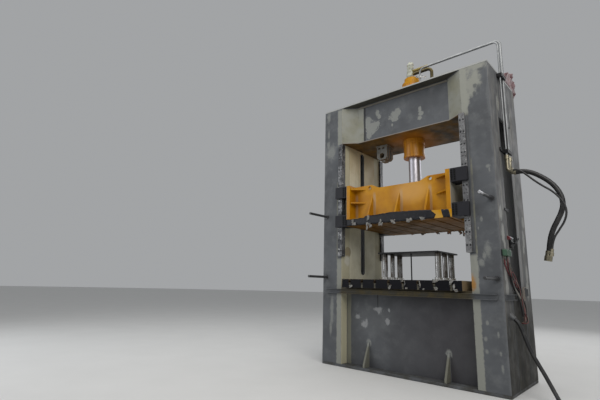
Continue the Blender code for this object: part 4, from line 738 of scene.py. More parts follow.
def rail_steel(name, middle):
    skin = Surface(name, 0.45, 0.35)
    broad = skin.noise(5.0, 4.0, 0.6)
    skin.colour = skin.blend(skin.ramp(broad, 0.35, 0.65), RAIL_DARK, RAIL_PALE)
    if middle < 0:
        shade = skin.clouds(0.4, 0.62, 9.0, 4.0, 0.6, (1.0, 1.0, 0.4))
        skin.colour = skin.blend(shade, RAIL_MOTTLE, skin.colour)
    specks = skin.clouds(0.54, 0.62, 38.0, 4.0, 0.7)
    skin.coat(RAIL_SPECK, specks, 0.85)
    flecks = skin.clouds(0.58, 0.64, 27.0, 5.0, 0.7, None, 0.0, (4.0, 2.0, 1.0))
    skin.coat(RAIL_FLECK, flecks, 0.85)
    level = 1.0
    for row in RAIL_HOLE_ROWS:
        level = skin.math("MINIMUM", level, abs(skin.at["z"] - row))
    across = abs(skin.at["x"] - middle) - RAIL_HOLE_SPREAD / 2
    hole = skin.fade(skin.length(skin.joined(across, level)), 0.01, 0.0135)
    skin.coat(HOLE_BLACK, hole)
    return skin.done(skin.ramp(specks, 0.0, 1.0, 0.38, 0.6), specks, 0.0005, 0.4)


def black_steel(name, tint=(0.012, 0.012, 0.013), roughness=0.5):
    skin = Surface(name, roughness, gloss=0.22)
    wear = skin.clouds(0.6, 0.78, 12.0, 6.0, 0.7)
    worn = tuple(channel + 0.018 for channel in tint)
    skin.colour = skin.blend(wear * 0.5, tint, worn)
    height = skin.noise(70.0, 3.0)
    return skin.done(skin.ramp(wear, 0.0, 1.0, roughness, roughness + 0.15), height, 0.0006, 0.35)


def bright_metal(name, tint, roughness, marks=0.3, stretch=(1.0, 1.0, 1.0)):
    skin = Surface(name, roughness, 1.0)
    tint_mix = skin.noise(9.0, 6.0, 0.65, stretch)
    dark = tuple(channel * (1 - marks) for channel in tint)
    skin.colour = skin.blend(skin.ramp(tint_mix, 0.4, 0.7), tint, dark)
    lines = skin.noise(40.0, 2.0, 0.5, (1.0, 1.0, 12.0))
    return skin.done(skin.ramp(tint_mix, 0.3, 0.7, roughness, roughness + 0.12), lines, 0.0003, 0.25)


def chrome():
    skin = Surface("rod_chrome", 0.42, 1.0)
    oil = skin.noise(5.0, 4.0, 0.6, (1.0, 1.0, 0.4))
    skin.colour = skin.blend(skin.ramp(oil, 0.45, 0.75), (0.5, 0.485, 0.525), (0.4, 0.385, 0.4))
    return skin.done(skin.ramp(oil, 0.3, 0.8, 0.38, 0.48), skin.noise(90.0, 2.0), 0.0001, 0.2)


def barrel_enamel(name):
    skin = Surface(name, 0.4, gloss=0.35, Coat_Weight=0.12, Coat_Roughness=0.2)
    turn = skin.math("ARCTAN2", skin.at["y"], skin.at["x"])
    lines = skin.noise(5.0, 5.0, 0.5, place=skin.joined(turn * 4.0, 0.0, skin.at["z"] * 0.5))
    skin.colour = skin.blend(skin.ramp(lines, 0.4, 0.62), (0.36, 0.14, 0.006), (0.56, 0.24, 0.014))
    skin.coat((0.54, 0.33, 0.09), skin.ramp(lines, 0.6, 0.7), 0.5)
    return skin.done(0.4, lines, 0.0015, 0.4)


def rubber(name):
    skin = Surface(name, 0.5)
    dust = skin.clouds(0.45, 0.75, 14.0, 5.0, 0.65)
    skin.colour = skin.blend(dust, (0.012, 0.012, 0.013), (0.04, 0.039, 0.037))
    weave = skin.add("ShaderNodeTexVoronoi", {"Vector": skin.place, "Scale": 420.0}, "Distance")
    return skin.done(skin.ramp(dust, 0.0, 1.0, 0.42, 0.6), weave, 0.0004, 0.4)


def film_white(name, tint=FILM_WHITE):
    skin = Surface(name, 0.55, Subsurface_Weight=0.05)
    folds = skin.noise(30.0, 4.0)
    dark = tuple(channel * 0.6 for channel in tint)
    skin.colour = skin.blend(skin.ramp(folds, 0.35, 0.6), dark, tint)
    return skin.done(None, folds, 0.002, 0.5)


def painted(name, tint, wear_tint, roughness):
    skin = Surface(name, roughness)
    worn = skin.clouds(0.58, 0.7, 22.0, 6.0, 0.7)
    skin.colour = skin.blend(worn * 0.7, tint, wear_tint)
    return skin.done(skin.ramp(worn, 0.0, 1.0, roughness, roughness + 0.2), worn, 0.0005, 0.4)


# Lock housing: pale grey front, sides browned by the oil from above
def housing_paint():
    skin = Surface("housing_primer", gloss=0.35)
    cloudy = skin.noise(8.0, 5.0, 0.6)
    skin.colour = skin.blend(skin.ramp(cloudy, 0.35, 0.7), (0.165, 0.168, 0.16), (0.245, 0.248, 0.235))
    aside = skin.fade(abs(skin.faces["y"]), 0.5, 0.8)
    skin.coat((0.15, 0.105, 0.055), aside, 0.85)
    return primer_done(skin)


def channel_paint():
    skin = primed("channel_primer", 0.5)
    over_bed = skin.fade(abs(skin.at["x"]), 0.98, 1.08)
    oil = skin.blend(skin.clouds(0.4, 0.65, 6.0, 5.0, 0.65), (0.04, 0.032, 0.012), (0.095, 0.07, 0.02))
    skin.coat(oil, over_bed, 0.85)
    return primer_done(skin)


# Round bar: black, with its free end rubbed bright
def bar_steel(name, bright):
    skin = Surface(name, 0.35)
    rag = skin.rag(0.06, 20.0, 4.0)
    tip = skin.fade(skin.at["y"] + rag, -HALF_DEPTH - 0.4, -HALF_DEPTH - 0.32)
    skin.colour = skin.blend(skin.noise(12.0, 4.0), (0.022, 0.022, 0.024), (0.055, 0.055, 0.058))
    if bright:
        skin.coat((0.62, 0.62, 0.64), tip)
        skin.feed(skin.shader["Metallic"], tip)
    return skin.done(0.3, skin.noise(60.0), 0.0003, 0.3)


# The port block is wrapped in pale film; its suction elbow is olive, with painted shade on its lower side
def port_enamel():
    skin = Surface("port_enamel", 0.5, gloss=0.3)
    fine = skin.noise(24.0, 5.0, 0.65)
    skin.colour = skin.blend(skin.ramp(fine, 0.35, 0.7), (0.17, 0.12, 0.02), (0.09, 0.07, 0.018))
    # Lower side of the elbow made near black: painted shade
    dark = skin.fade(skin.faces["z"], -0.2, 0.3)
    away = skin.ramp(skin.at["x"], 0.06, 0.1)
    skin.coat((0.01, 0.009, 0.006), dark, away, 0.9)
    return skin.done(None, fine, 0.0015, 0.4)


# Turned posts with brown oil, cream caps at their feet
def post_steel():
    skin = Surface("stand_post_steel", 0.32, 0.8)
    oil = skin.noise(7.0, 5.0, 0.65, (1.0, 1.0, 0.6))
    skin.colour = skin.blend(skin.ramp(oil, 0.42, 0.62), (0.4, 0.395, 0.39), (0.09, 0.066, 0.046))
    foot = skin.band("z", BOLSTER_HIGH.z + 0.02, BOLSTER_HIGH.z + 0.052, 0.004)
    skin.coat((0.62, 0.615, 0.6), foot, 0.9)
    cap = skin.ramp(skin.at["z"], POSTS_HIGH.z - 0.055, POSTS_HIGH.z - 0.045)
    skin.coat((0.05, 0.042, 0.034), cap, 0.75)
    return skin.done(skin.ramp(oil, 0.3, 0.7, 0.22, 0.45), oil, 0.0005, 0.3)


def black_film():
    skin = Surface("black_film", 0.42, gloss=0.3)
    folds = skin.noise(18.0, 5.0, 0.6)
    skin.colour = skin.blend(skin.ramp(folds, 0.5, 0.75), FILM_BLACK, (0.02, 0.02, 0.028))
    return skin.done(skin.ramp(folds, 0.3, 0.7, 0.34, 0.5), folds, 0.004, 0.6)


# The box's cable: wires of several colours, loosely twisted together
SIDE_FACE = 1.4003
BOX_WIRES = [
    ("wire_red_long", (0.17, 0.03, 0.036), 0.0075, [
        (0.02, -0.575, 1.59), (0.012, -0.545, 1.545), (0.012, -0.449, 1.461), (0.014, -0.363, 1.391),
        (0.014, -0.248, 1.338), (0.016, -0.12, 1.296), (0.024, -0.05, 1.24)]),
    ("wire_red_loop", (0.15, 0.034, 0.036), 0.0065, [
        (0.02, -0.285, 1.455), (0.012, -0.235, 1.452), (0.012, -0.165, 1.416), (0.012, -0.105, 1.36),
        (0.014, -0.075, 1.29), (0.018, -0.12, 1.262), (0.022, -0.2, 1.3)]),
    ("wire_pale", (0.23, 0.215, 0.19), 0.012, [
        (0.02, -0.4, 1.5), (0.016, -0.345, 1.44), (0.016, -0.31, 1.34), (0.018, -0.26, 1.27),
        (0.02, -0.15, 1.2), (0.026, -0.01, 1.11)]),
    ("wire_black", (0.01, 0.01, 0.011), 0.011, [
        (0.03, -0.47, 1.54), (0.03, -0.42, 1.48), (0.026, -0.39, 1.4), (0.022, -0.337, 1.33),
        (0.02, -0.234, 1.232), (0.024, -0.12, 1.13), (0.03, -0.04, 1.04), (0.034, 0.01, 0.9)]),
    ("wire_brown", (0.12, 0.066, 0.056), 0.016, [
        (0.03, -0.02, 1.12), (0.026, 0.04, 1.066), (0.024, 0.11, 0.99), (0.024, 0.13, 0.9),
        (0.022, 0.09, 0.82)]),
    ("wire_black_long", (0.008, 0.008, 0.009), 0.009, [
        (0.044, -0.02, 1.13), (0.044, 0.06, 1.076), (0.04, 0.125, 1.01), (0.036, 0.14, 0.93),
        (0.03, 0.12, 0.85)]),
    ("wire_plugs", (0.06, 0.054, 0.04), 0.017, [
        (0.024, -0.44, 1.555), (0.024, -0.415, 1.53), (0.024, -0.385, 1.5), (0.024, -0.36, 1.475)]),
]
WIRE_RADIUS = 0.0042
WIRE_TURN = 0.3
WIRE_DUST = (0.30, 0.28, 0.25)
WIRE_TINTS = (None, (0.17, 0.026, 0.03), (0.15, 0.135, 0.11), None, (0.17, 0.026, 0.03), (0.08, 0.075, 0.068))


def heading(route, index):
    return (route[min(index + 1, len(route) - 1)] - route[max(index - 1, 0)]).normalized()


def route_length(route):
    return sum((there - here).length for here, there in zip(route, route[1:]))


# One mesh made of several small shapes
class Shape:
    def __init__(self):
        self.mesh = bmesh.new()

    # Faces between rows of points; closed rows go round, and a row of one point is a tip
    def cover(self, rows, closed=True):
        rows = [[self.mesh.verts.new(place) for place in row] for row in rows]
        steps = max(len(row) for row in rows) - (0 if closed else 1)
        for lower, upper in zip(rows, rows[1:]):
            for step in range(steps):
                corners = [lower[step % len(lower)], lower[(step + 1) % len(lower)]]
                corners += [upper[(step + 1) % len(upper)], upper[step % len(upper)]]
                self.mesh.faces.new(list(dict.fromkeys(corners)))
        return rows

    def turned(self, profile, matrix, steps=16):
        rows = []
        for radius, height in profile:
            turns = [2 * pi * step / steps for step in range(steps)] if radius else [0.0]
            rows.append([matrix @ Vector((radius * cos(a), radius * sin(a), height)) for a in turns])
        self.cover(rows)

    def tube(self, route, radius, steps=10, ripple=0.0):
        rows = []
        side = None
        turns = [2 * pi * step / steps for step in range(steps)]
        for index, place in enumerate(route):
            ahead = heading(route, index)
            side = side or ahead.orthogonal()
            side = (side - ahead * side.dot(ahead)).normalized()
            other = ahead.cross(side)
            swell = radius * (1 + ripple * sin(index * RIPPLE_STEP))
            rows.append([place + (side * cos(a) + other * sin(a)) * swell for a in turns])
        rows = self.cover(rows)
        self.mesh.faces.new(rows[0])
        self.mesh.faces.new(rows[-1])

    # Weld bead: a rippled roll along a straight seam
    def bead(self, start, end, radius=0.006, spacing=0.012):
        start, end = Vector(start), Vector(end)
        count = max(2, round((end - start).length / spacing))
        self.tube([start.lerp(end, step / count) for step in range(count + 1)], radius, 6, 0.22)

    def block(self, low, high):
        corners = [self.mesh.verts.new(corner) for corner in product(*zip(low, high))]
        for face in ((0, 1, 3, 2), (4, 6, 7, 5), (0, 4, 5, 1), (2, 3, 7, 6), (0, 2, 6, 4), (1, 5, 7, 3)):
            self.mesh.faces.new([corners[index] for index in face])

    # Socket head screw seen from its head, with the hexagon sunk in
    def screw(self, place, direction, radius, height, spin=0.0):
        lip = radius * 0.12
        floor = height * 0.35
        profile = [(radius, 0), (radius, height - lip), (radius - lip, height)]
        profile += [(radius * 0.55, height), (radius * 0.50, floor), (0, floor)]
        self.turned(profile, towards(place, direction, spin), 12)

    def done(self, name, material, body, slot, soften=0.0, smooth=30):
        bmesh.ops.recalc_face_normals(self.mesh, faces=self.mesh.faces)
        data = bpy.data.meshes.new(name)
        self.mesh.to_mesh(data)
        self.mesh.free()
        data.shade_smooth()
        data.set_sharp_from_angle(angle=radians(smooth))
        data.materials.append(material)
        item = linked(name, data)
        if soften:
            add_bevel(item, soften)
        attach(item, body)
        return item


def towards(place, direction, spin=0.0):
    turn = Vector((0, 0, 1)).rotation_difference(Vector(direction)).to_matrix().to_4x4()
    return Matrix.Translation(place) @ turn @ Matrix.Rotation(spin, 4, "Z")


def add_bevel(item, width, angle=30):
    edge = item.modifiers.new("edge", "BEVEL")
    edge.width = width
    edge.segments = 2
    edge.limit_method = "ANGLE"
    edge.angle_limit = radians(angle)


def thicken(item, thickness=0.0015):
    shell = item.modifiers.new("shell", "SOLIDIFY")
    shell.thickness = thickness
    shell.offset = 0


# Looks of the frame's own pieces
def dress(material, bevel, *names):
    for name in names:
        item = NODES[name]
        item.data.materials.clear()
        item.data.materials.append(material)
        item.modifiers.clear()
        item.modifiers.new("join", "NODES").node_group = joined_group()
        if bevel:
            add_bevel(item, bevel, 40)


# Modifier that joins the faces' corners again and shades round faces smooth
def joined_group():
    if "joined" in bpy.data.node_groups:
        return bpy.data.node_groups["joined"]
    group = bpy.data.node_groups.new("joined", "GeometryNodeTree")
    for way in ("INPUT", "OUTPUT"):
        group.interface.new_socket("Geometry", in_out=way, socket_type="NodeSocketGeometry")
    chain = [group.nodes.new(kind) for kind in (
        "NodeGroupInput",
        "GeometryNodeRemoveAttribute",
        "GeometryNodeMergeByDistance",
        "GeometryNodeSetShadeSmooth",
        "GeometryNodeSetShadeSmooth",
        "NodeGroupOutput",
    )]
    for before, after in zip(chain, chain[1:]):
        group.links.new(before.outputs[0], after.inputs[0])
    drop, merge, sharp = chain[1], chain[2], chain[4]
    drop.inputs["Name"].default_value = "custom_normal"
    merge.inputs["Distance"].default_value = JOIN_DISTANCE
    sharp.domain = "EDGE"
    angle = group.nodes.new("GeometryNodeInputMeshEdgeAngle")
    compare = group.nodes.new("FunctionNodeCompare")
    compare.operation = "LESS_EQUAL"
    compare.inputs[1].default_value = radians(32)
    group.links.new(angle.outputs["Unsigned Angle"], compare.inputs[0])
    group.links.new(compare.outputs[0], sharp.inputs["Shade Smooth"])
    return group


# A smooth curve through a cord's points, as in the frame
def smooth_route(points, spacing):
    places = [Vector(point) for point in points]
    places.append(places[-1] * 2 - places[-2])
    dense = []
    for index in range(1, len(places) - 2):
        p0, p1, p2, p3 = places[index - 1:index + 3]
        for step in range(CURVE_PIECES):
            t = step / CURVE_PIECES
            linear = (p2 - p0) * t
            square = (p0 * 2 - p1 * 5 + p2 * 4 - p3) * t ** 2
            cube = (p1 * 3 - p0 - p2 * 3 + p3) * t ** 3
            dense.append((p1 * 2 + linear + square + cube) / 2)
    dense.append(places[-2])
    route = [places[0], dense[0]]
    travelled = 0.0
    for here, there in zip(dense, dense[1:]):
        travelled += (there - here).length
        if travelled >= spacing:
            route.append(there)
            travelled = 0.0
    if (route[-1] - dense[-1]).length < spacing / 2:
        route.pop()
    route.append(dense[-1])
    return route


def linked(name, data):
    item = bpy.data.objects.new(name, data)
    SCENE.collection.objects.link(item)
    return item


# Puts a cord's piece in the place of the frame's own
def lay_cord(item, node, route, start, diameter, far_end, stiffness, lay, pieces, **more):
    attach(item, "frame")
    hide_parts(node)
    round(route_length(route), 3)


def make_cords():
    black = rubber("hose_rubber_black")
    for name, points, diameter, far_end, stiffness, lay in (
        ("pressure_hose", PRESSURE_HOSE_ROUTE, PRESSURE_HOSE_DIAMETER, "fitting", "stiff", "hanging"),
        ("return_hose", RETURN_HOSE_ROUTE, RETURN_HOSE_DIAMETER, "fitting", "medium", "hanging"),
        ("conduit", CONDUIT_ROUTE, CONDUIT_DIAMETER, "connector", "medium", "loose"),
    ):
        route = smooth_route(points, CORD_SPACING)
        curve = bpy.data.curves.new(name + "_line", "CURVE")
        curve.dimensions = "3D"
        curve.bevel_depth = diameter / 2
        curve.bevel_resolution = 6
        curve.use_fill_caps = True
        spline = curve.splines.new("POLY")
        spline.points.add(len(route) - 1)
        for knot, place in zip(spline.points, route):
            knot.co = (*place, 1.0)
        spline.use_smooth = True
        curve.materials.append(black)
        item = linked(name + "_line", curve)
        lay_cord(item, name, route, points[0], diameter, far_end, stiffness, lay, [name + "_end"])
    make_bundle(black)


# One wire of the bundle: it winds round the cable's line and sways a little
def strand(fine, index):
    core = BOX_CABLE_DIAMETER / 2 - WIRE_RADIUS
    travelled = 0.0
    places = []
    for step, place in enumerate(fine):
        side = heading(fine, step).cross(Vector((1, 0, 0))).normalized()
        other = heading(fine, step).cross(side)
        if step:
            travelled += (place - fine[step - 1]).length
        sway = 0.5 * sin(travelled * 17 + index)
        angle = 2 * pi * (index / len(WIRE_TINTS) + travelled / WIRE_TURN) + sway
        places.append(place + (side * cos(angle) + other * sin(angle)) * core)
    return places


def make_bundle(black):
    route = smooth_route(BOX_CABLE_ROUTE, CORD_SPACING)
    fine = [here.lerp(there, step / 3) for here, there in zip(route, route[1:]) for step in range(3)]
    fine.append(route[-1])
    shape = Shape()
    data = bpy.data.meshes.new("box_cable_line")
    painted_faces = 0
    for index, tint in enumerate(WIRE_TINTS):
        shape.tube(strand(fine, index), WIRE_RADIUS, 8)
        shape.mesh.faces.ensure_lookup_table()
        for face in shape.mesh.faces[painted_faces:]:
            face.material_index = index
        painted_faces = len(shape.mesh.faces)
        data.materials.append(painted("wire_" + str(index), tint, WIRE_DUST, 0.5) if tint else black)
    bmesh.ops.recalc_face_normals(shape.mesh, faces=shape.mesh.faces)
    shape.mesh.to_mesh(data)
    shape.mesh.free()
    data.shade_smooth()
    item = linked("box_cable_line", data)
    loose = []
    for name, tint, radius, points in BOX_WIRES:
        shape = Shape()
        shape.tube(smooth_route([(SIDE_FACE + out, y, z) for out, y, z in points], 0.012), radius, 10)
        material = painted(name, tint, (0.16, 0.14, 0.125), 0.5)
        loose.append(shape.done(name, material, "frame", "hose_rubber", smooth=60).name)
    start, diameter = BOX_CABLE_ROUTE[0], BOX_CABLE_DIAMETER
    lay_cord(item, "box_cable", route, start, diameter, "object", "medium", "hanging", loose, path=route)


def dress_frame():
    dress(crown_paint(), 0.003, "crown")
    dress(top_paint(), 0.003, "top_plate")
    dress(plain_primer("base_primer", 0.7), 0.003, "base_plate")
    dress(bed_paint(), 0.002, "bed")
    for side, end, corner in CORNERS:
        name = "column_" + corner
        dress(post_paint(name + "_primer", side, end), 0.003, name)
    for side, across in SIDES:
        dress(web_paint(across + "_web_primer", side), 0.0, "column_" + across + "_web")
        for level in LEVELS:
            name = "column_" + across + "_" + level + "_cover"
            dress(cover_paint(name + "_primer", side, level == "lower"), 0.002, name)
    dress(channel_paint(), 0.001, "front_channel", "side_channel")
    dress(bolster_steel(), 0.002, "bolster")
    dress(housing_paint(), 0.003, "lock_housing")


def dress_slide():
    dress(enamel("slide_enamel", True), 0.002, "slide_body")
    dress(slide_plate_steel(), 0.002, "slide_plate")
    dress(chrome(), 0.0, "piston_rod")
    shoe = black_steel("shoe_black", (0.016, 0.016, 0.02))
    for side, end, corner in CORNERS:
        rail = "guide_rail_" + corner
        low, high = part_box(rail)
        dress(rail_steel("rail_" + corner, (low.x + high.x) / 2), 0.002, rail)
        dress(shoe, 0.003, "lower_shoe_" + corner, "upper_shoe_" + corner)


def dress_hydraulics():
    dress(barrel_enamel("barrel_enamel"), 0.003, "cylinder_barrel")
    dress(barrel_enamel("gland_enamel"), 0.003, "cylinder_gland")
    dress(enamel("cap_enamel"), 0.003, "cylinder_cap")
    dress(port_enamel(), 0.002, "port_block")
    dress(bright_metal("pipe_zinc", (0.33, 0.34, 0.345), 0.52, 0.3, (1.0, 1.0, 0.4)), 0.0,
          "pressure_pipe", "return_pipe")
    dress(bright_metal("fitting_brass", (0.4, 0.365, 0.27), 0.38, 0.5), 0.001,
          "pressure_elbow", "return_elbow", "pressure_hose_end", "return_hose_end", "conduit_end")
    dress(black_steel("fixing_black"), 0.002,
          "pipe_clamp_upper", "pipe_clamp_lower", "stop_valve", "valve_lever")
    for side, across in SIDES:
        for level in LEVELS:
            bright = side > 0 and level == "upper"
            dress(bar_steel("bar_" + across + level, bright), 0.0, "front_bar_" + across + "_" + level)
    dress(painted("box_green", (0.035, 0.085, 0.05), (0.13, 0.19, 0.15), 0.5), 0.003, "electrical_box")
    dress(black_steel("stand_black", (0.016, 0.016, 0.018), 0.5), 0.002, "stand_plate")
    dress(post_steel(), 0.002, "stand_posts_left", "stand_posts_right")


# Screws on the guide shoes: two columns beside the slide's end plate
SHOE_SCREW_RADIUS = 0.0145
SHOE_SCREW_HEIGHT = 0.006
SHOE_SCREW_ROWS = 5
SHOE_SCREW_COLUMNS = (0.022, 0.062)
SCREW_SPIN = 0.7


def add_shoe_screws():
    steel = black_steel("shoe_screw_black", (0.003, 0.003, 0.003), 0.6)
    for side, end, corner in CORNERS:
        for level in LEVELS:
            label = level + "_shoe_" + corner
            low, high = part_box(label)
            shape = Shape()
            margin = (high.z - low.z) / (SHOE_SCREW_ROWS + 1)
            inner = low.x if side > 0 else high.x
            face = low.y if end < 0 else high.y
            for column in SHOE_SCREW_COLUMNS:
                for row in range(SHOE_SCREW_ROWS):
                    place = (inner + side * column, face, low.z + margin * (row + 1))
                    shape.screw(place, (0, end, 0), SHOE_SCREW_RADIUS, SHOE_SCREW_HEIGHT, row * SCREW_SPIN)
            shape.done(label + "_screws", steel, "slide", "black_steel")


RING_SCREWS = 12


# Screws in rings round the cylinder's axis, each with its level, ring radius, head radius and body
def add_cylinder_fasteners():
    steel = black_steel("flange_screw_black", (0.035, 0.034, 0.033), 0.35)
    rod_low, rod_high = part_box("piston_rod")
    for name, level, ring, head, body in (
        ("cap_screws", CAP_LOW.z + 0.04, 0.14, 0.011, "frame"),
        ("rod_flange_screws", rod_low.z + 0.04, 0.128, 0.012, "slide"),
    ):
        shape = Shape()
        for index in range(RING_SCREWS):
            turn = 2 * pi * index / RING_SCREWS
            place = (ring * cos(turn), ring * sin(turn), level)
            shape.screw(place, (0, 0, 1), head, head * 1.2, turn)
        shape.done(name, steel, body, "black_steel")


# Rings round the lug holes at the slide's four shoulders, radius and height
LUG_HOLE_PLACE = 0.507
LUG_HOLE_HEIGHT = 0.5
LUG_RING = [(0.025, 0), (0.04, 0), (0.038, 0.006), (0.027, 0.006), (0.025, 0)]


def add_lug_rings():
    shape = Shape()
    for end in ENDS:
        for side in ENDS:
            place = (side * LUG_HOLE_PLACE, end * SLIDE_PANEL_FACE, SLIDE_LOW.z + LUG_HOLE_HEIGHT)
            shape.turned(LUG_RING, towards(place, (0, end, 0)), 24)
    shape.done("lug_rings", enamel("lug_enamel"), "slide", "yellow_enamel", smooth=60)


# Pale film wound round the port block, tied narrow at its middle: share of its height, radius
PORT_WRAP = [
    (0.0, 0.056), (0.12, 0.06), (0.3, 0.054), (0.48, 0.048), (0.66, 0.054), (0.85, 0.058), (0.97, 0.04),
]
PORT_WRAP_LEAN = 0.016
PORT_WRAP_LEVELS = 26
PORT_WRAP_TURNS = 28
PORT_HALF = 0.0475
RISER_SCRAPS = [(0.19, 4.64, 0.045), (0.262, 4.615, 0.06), (0.33, 4.59, 0.035)]
RISER_FACE = -0.195
PIPE_WRAP_START = 0.05
PIPE_WRAP_STEP = 0.014
PIPE_WRAP_STEPS = 21


def wrap_radius(share):
    radius = PORT_WRAP[-1][1]
    for (low, narrow), (high, wide) in zip(PORT_WRAP, PORT_WRAP[1:]):
        if low <= share <= high:
            radius = narrow + (wide - narrow) * (share - low) / (high - low)
    return radius


def add_port_wrap():
    port_low, port_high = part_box("port_block")
    middle = Vector((port_low.x + 0.045, port_low.y + 0.045, CAP_HIGH.z + 0.004))
    reach = port_high.z - middle.z + 0.045
    rows = []
    for level in range(PORT_WRAP_LEVELS + 1):
        share = level / PORT_WRAP_LEVELS
        place = middle + Vector((PORT_WRAP_LEAN * share, 0, reach * share))
        least = PORT_HALF if share < 0.8 else 0.02
        row = []
        for step in range(PORT_WRAP_TURNS):
            angle = 2 * pi * step / PORT_WRAP_TURNS
            way = Vector((cos(angle), sin(angle), 0))
            crease = 0.010 * noise(Vector((way.x * 2.2, way.y * 2.2, share * 6.0)))
            crease += 0.004 * noise(way * 6 + Vector((0, 0, share * 21)))
            row.append(place + way * max(least, wrap_radius(share) + crease))
        rows.append(row)
    shape = Shape()
    shape.cover(rows)
    thicken(shape.done("port_wrap", film_white("port_film", (0.4, 0.4, 0.33)), "frame", "primer", smooth=60))
    pipe_low, pipe_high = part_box("pressure_pipe")
    radius = (pipe_high.y - pipe_low.y) / 2
    route = [
        Vector((PIPE_WRAP_START + PIPE_WRAP_STEP * step, pipe_low.y + radius, pipe_high.z - radius))
        for step in range(PIPE_WRAP_STEPS)
    ]
    shape = Shape()
    shape.tube(route, radius + 0.004, 14, 0.002)
    shape.done("pipe_wrap", film_white("pipe_film", (0.26, 0.195, 0.045)), "frame", "primer", smooth=60)
    shape = Shape()
    for index, (x, z, wide) in enumerate(RISER_SCRAPS):
        crumple(shape, (x, RISER_FACE, z), (wide, 0.03, wide * 0.7), index + 30)
    film = film_white("riser_film", (0.8, 0.8, 0.78))
    thicken(shape.done("riser_scraps", film, "frame", "primer", smooth=50))


# Seams of the frame: the bed's lip, the foot gussets and the side windows
BED_LIP = 0.052
GUSSET_PLACE = 0.62
GUSSET_FLANK = 0.015
GUSSET_TOP = 0.398
WINDOW_HALF = 0.27
SEAM_GAP = 0.001


def add_frame_welds():
    shape = Shape()
    lip = BED_HIGH.z - BED_LIP
    ledge = CROWN_HIGH.z - 0.004
    for end in ENDS:
        panel = end * (PANEL_FACE + SEAM_GAP)
        for side in ENDS:
            corner = side * COLUMN_INNER
            shape.bead((corner, panel, BED_LOW.z), (corner, panel, lip))
            for flank in (-GUSSET_FLANK, GUSSET_FLANK):
                foot = side * GUSSET_PLACE + flank
                shape.bead((foot, panel, BED_LOW.z), (foot, panel, GUSSET_TOP))
            for cover in COVERS:
                low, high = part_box(cover)
                out = side * (HALF_WIDTH - SEAM_GAP)
                shape.bead((out, end * WINDOW_HALF, low.z), (out, end * WINDOW_HALF, high.z), 0.004)
            shape.bead((side * CHEEK_FOOT, panel, ledge), (corner, end * HALF_DEPTH, ledge), 0.008)
        shape.bead((-COLUMN_INNER, panel, lip), (COLUMN_INNER, panel, lip), 0.008)
        shape.bead((-CHEEK_FOOT, panel, ledge), (CHEEK_FOOT, panel, ledge), 0.010)
    shape.done("frame_welds", plain_primer("weld_primer"), "frame", "frame_paint", smooth=60)


# Seams of the slide: rib and shelf places, with half their thickness
SLIDE_INNER = 0.792
RIB_PLACES = (-0.47, 0.0, 0.47)
RIB_FLANK = 0.016
RIB_TOP = 0.352
END_TOP = 0.52
SHELF_HEIGHTS = (0.265, 0.49)
SHELF_FLANK = 0.0135
SHELF_LENGTH = 0.205


def add_slide_welds():
    shape = Shape()
    floor = SLIDE_LOW.z
    foot = floor + 0.004
    for end in ENDS:
        face = end * (SLIDE_PANEL_FACE + SEAM_GAP)
        for place in RIB_PLACES:
            for flank in (-RIB_FLANK, RIB_FLANK):
                rib = place + flank
                shape.bead((rib, face, foot), (rib, face, floor + RIB_TOP), 0.005)
        for side in ENDS:
            inner = side * SLIDE_INNER
            shape.bead((inner, face, foot), (inner, face, floor + END_TOP))
            for height in SHELF_HEIGHTS:
                for flank in (-SHELF_FLANK, SHELF_FLANK):
                    level = floor + height + flank
                    start = side * (SLIDE_INNER - SHELF_LENGTH)
                    shape.bead((start, face, level), (inner, face, level), 0.004)
        shape.bead((-SLIDE_INNER, face, floor + 0.003), (SLIDE_INNER, face, floor + 0.003))
    shape.done("slide_welds", enamel("slide_weld_enamel"), "slide", "yellow_enamel", smooth=60)


# Crumpled bit of film about a centre; size is its width, bulge and height
def crumple(shape, centre, size, seed, steps=7):
    dice = Random(seed)
    shift = Vector((dice.random(), dice.random(), dice.random())) * 9
    lean = dice.uniform(-0.5, 0.5)
    rows = []
    for across in range(steps + 1):
        row = []
        for down in range(steps + 1):
            u = across / steps - 0.5
            v = down / steps - 0.5
            place = Vector(((u + lean * v) * size[0], 0, v * size[2]))
            wave = place * (2.6 / max(size)) + shift
            bulge = noise(wave) * size[1] * 1.6
            pinch = 1 + 0.75 * noise(wave * 1.7)
            narrow = 1 - 0.5 * abs(v) * dice.uniform(0.6, 1.4)
            row.append(Vector(centre) + Vector((place.x * pinch * narrow, bulge, place.z * pinch)))
        rows.append(row)
    shape.cover(rows, False)


# Film stuck flat on an end face between an upper and a lower edge, each a list of x, z
def stuck_film(shape, face, end, upper, lower, seed, gap=0.0012, steps=5):
    shift = Vector((seed * 1.7, seed * 0.9, 0))
    rows = []
    for (top_x, top_z), (foot_x, foot_z) in zip(fine_line(upper), fine_line(lower)):
        row = []
        for step in range(steps + 1):
            share = step / steps
            x = top_x + (foot_x - top_x) * share
            z = top_z + (foot_z - top_z) * share
            fray = 0.006 * noise(Vector((x * 31, z * 31, seed))) * (1 - min(share, 1 - share) * 2)
            lift = gap + 0.004 * max(0.0, noise(Vector((x, z, 0)) * 14 + shift))
            row.append((-end * x, end * (face + lift), z + fray))
        rows.append(row)
    shape.cover(rows, False)


# The same number of points along any edge, whatever number of corners it has
def fine_line(corners, count=72):
    places = [Vector((*corner, 0)) for corner in corners]
    lengths = [(there - here).length for here, there in zip(places, places[1:])]
    line = []
    for index in range(count + 1):
        rest = sum(lengths) * index / count
        for here, there, length in zip(places, places[1:], lengths):
            if rest <= length or there is places[-1]:
                line.append(tuple(here.lerp(there, min(1.0, rest / length)).xy))
                break
            rest -= length
    return line


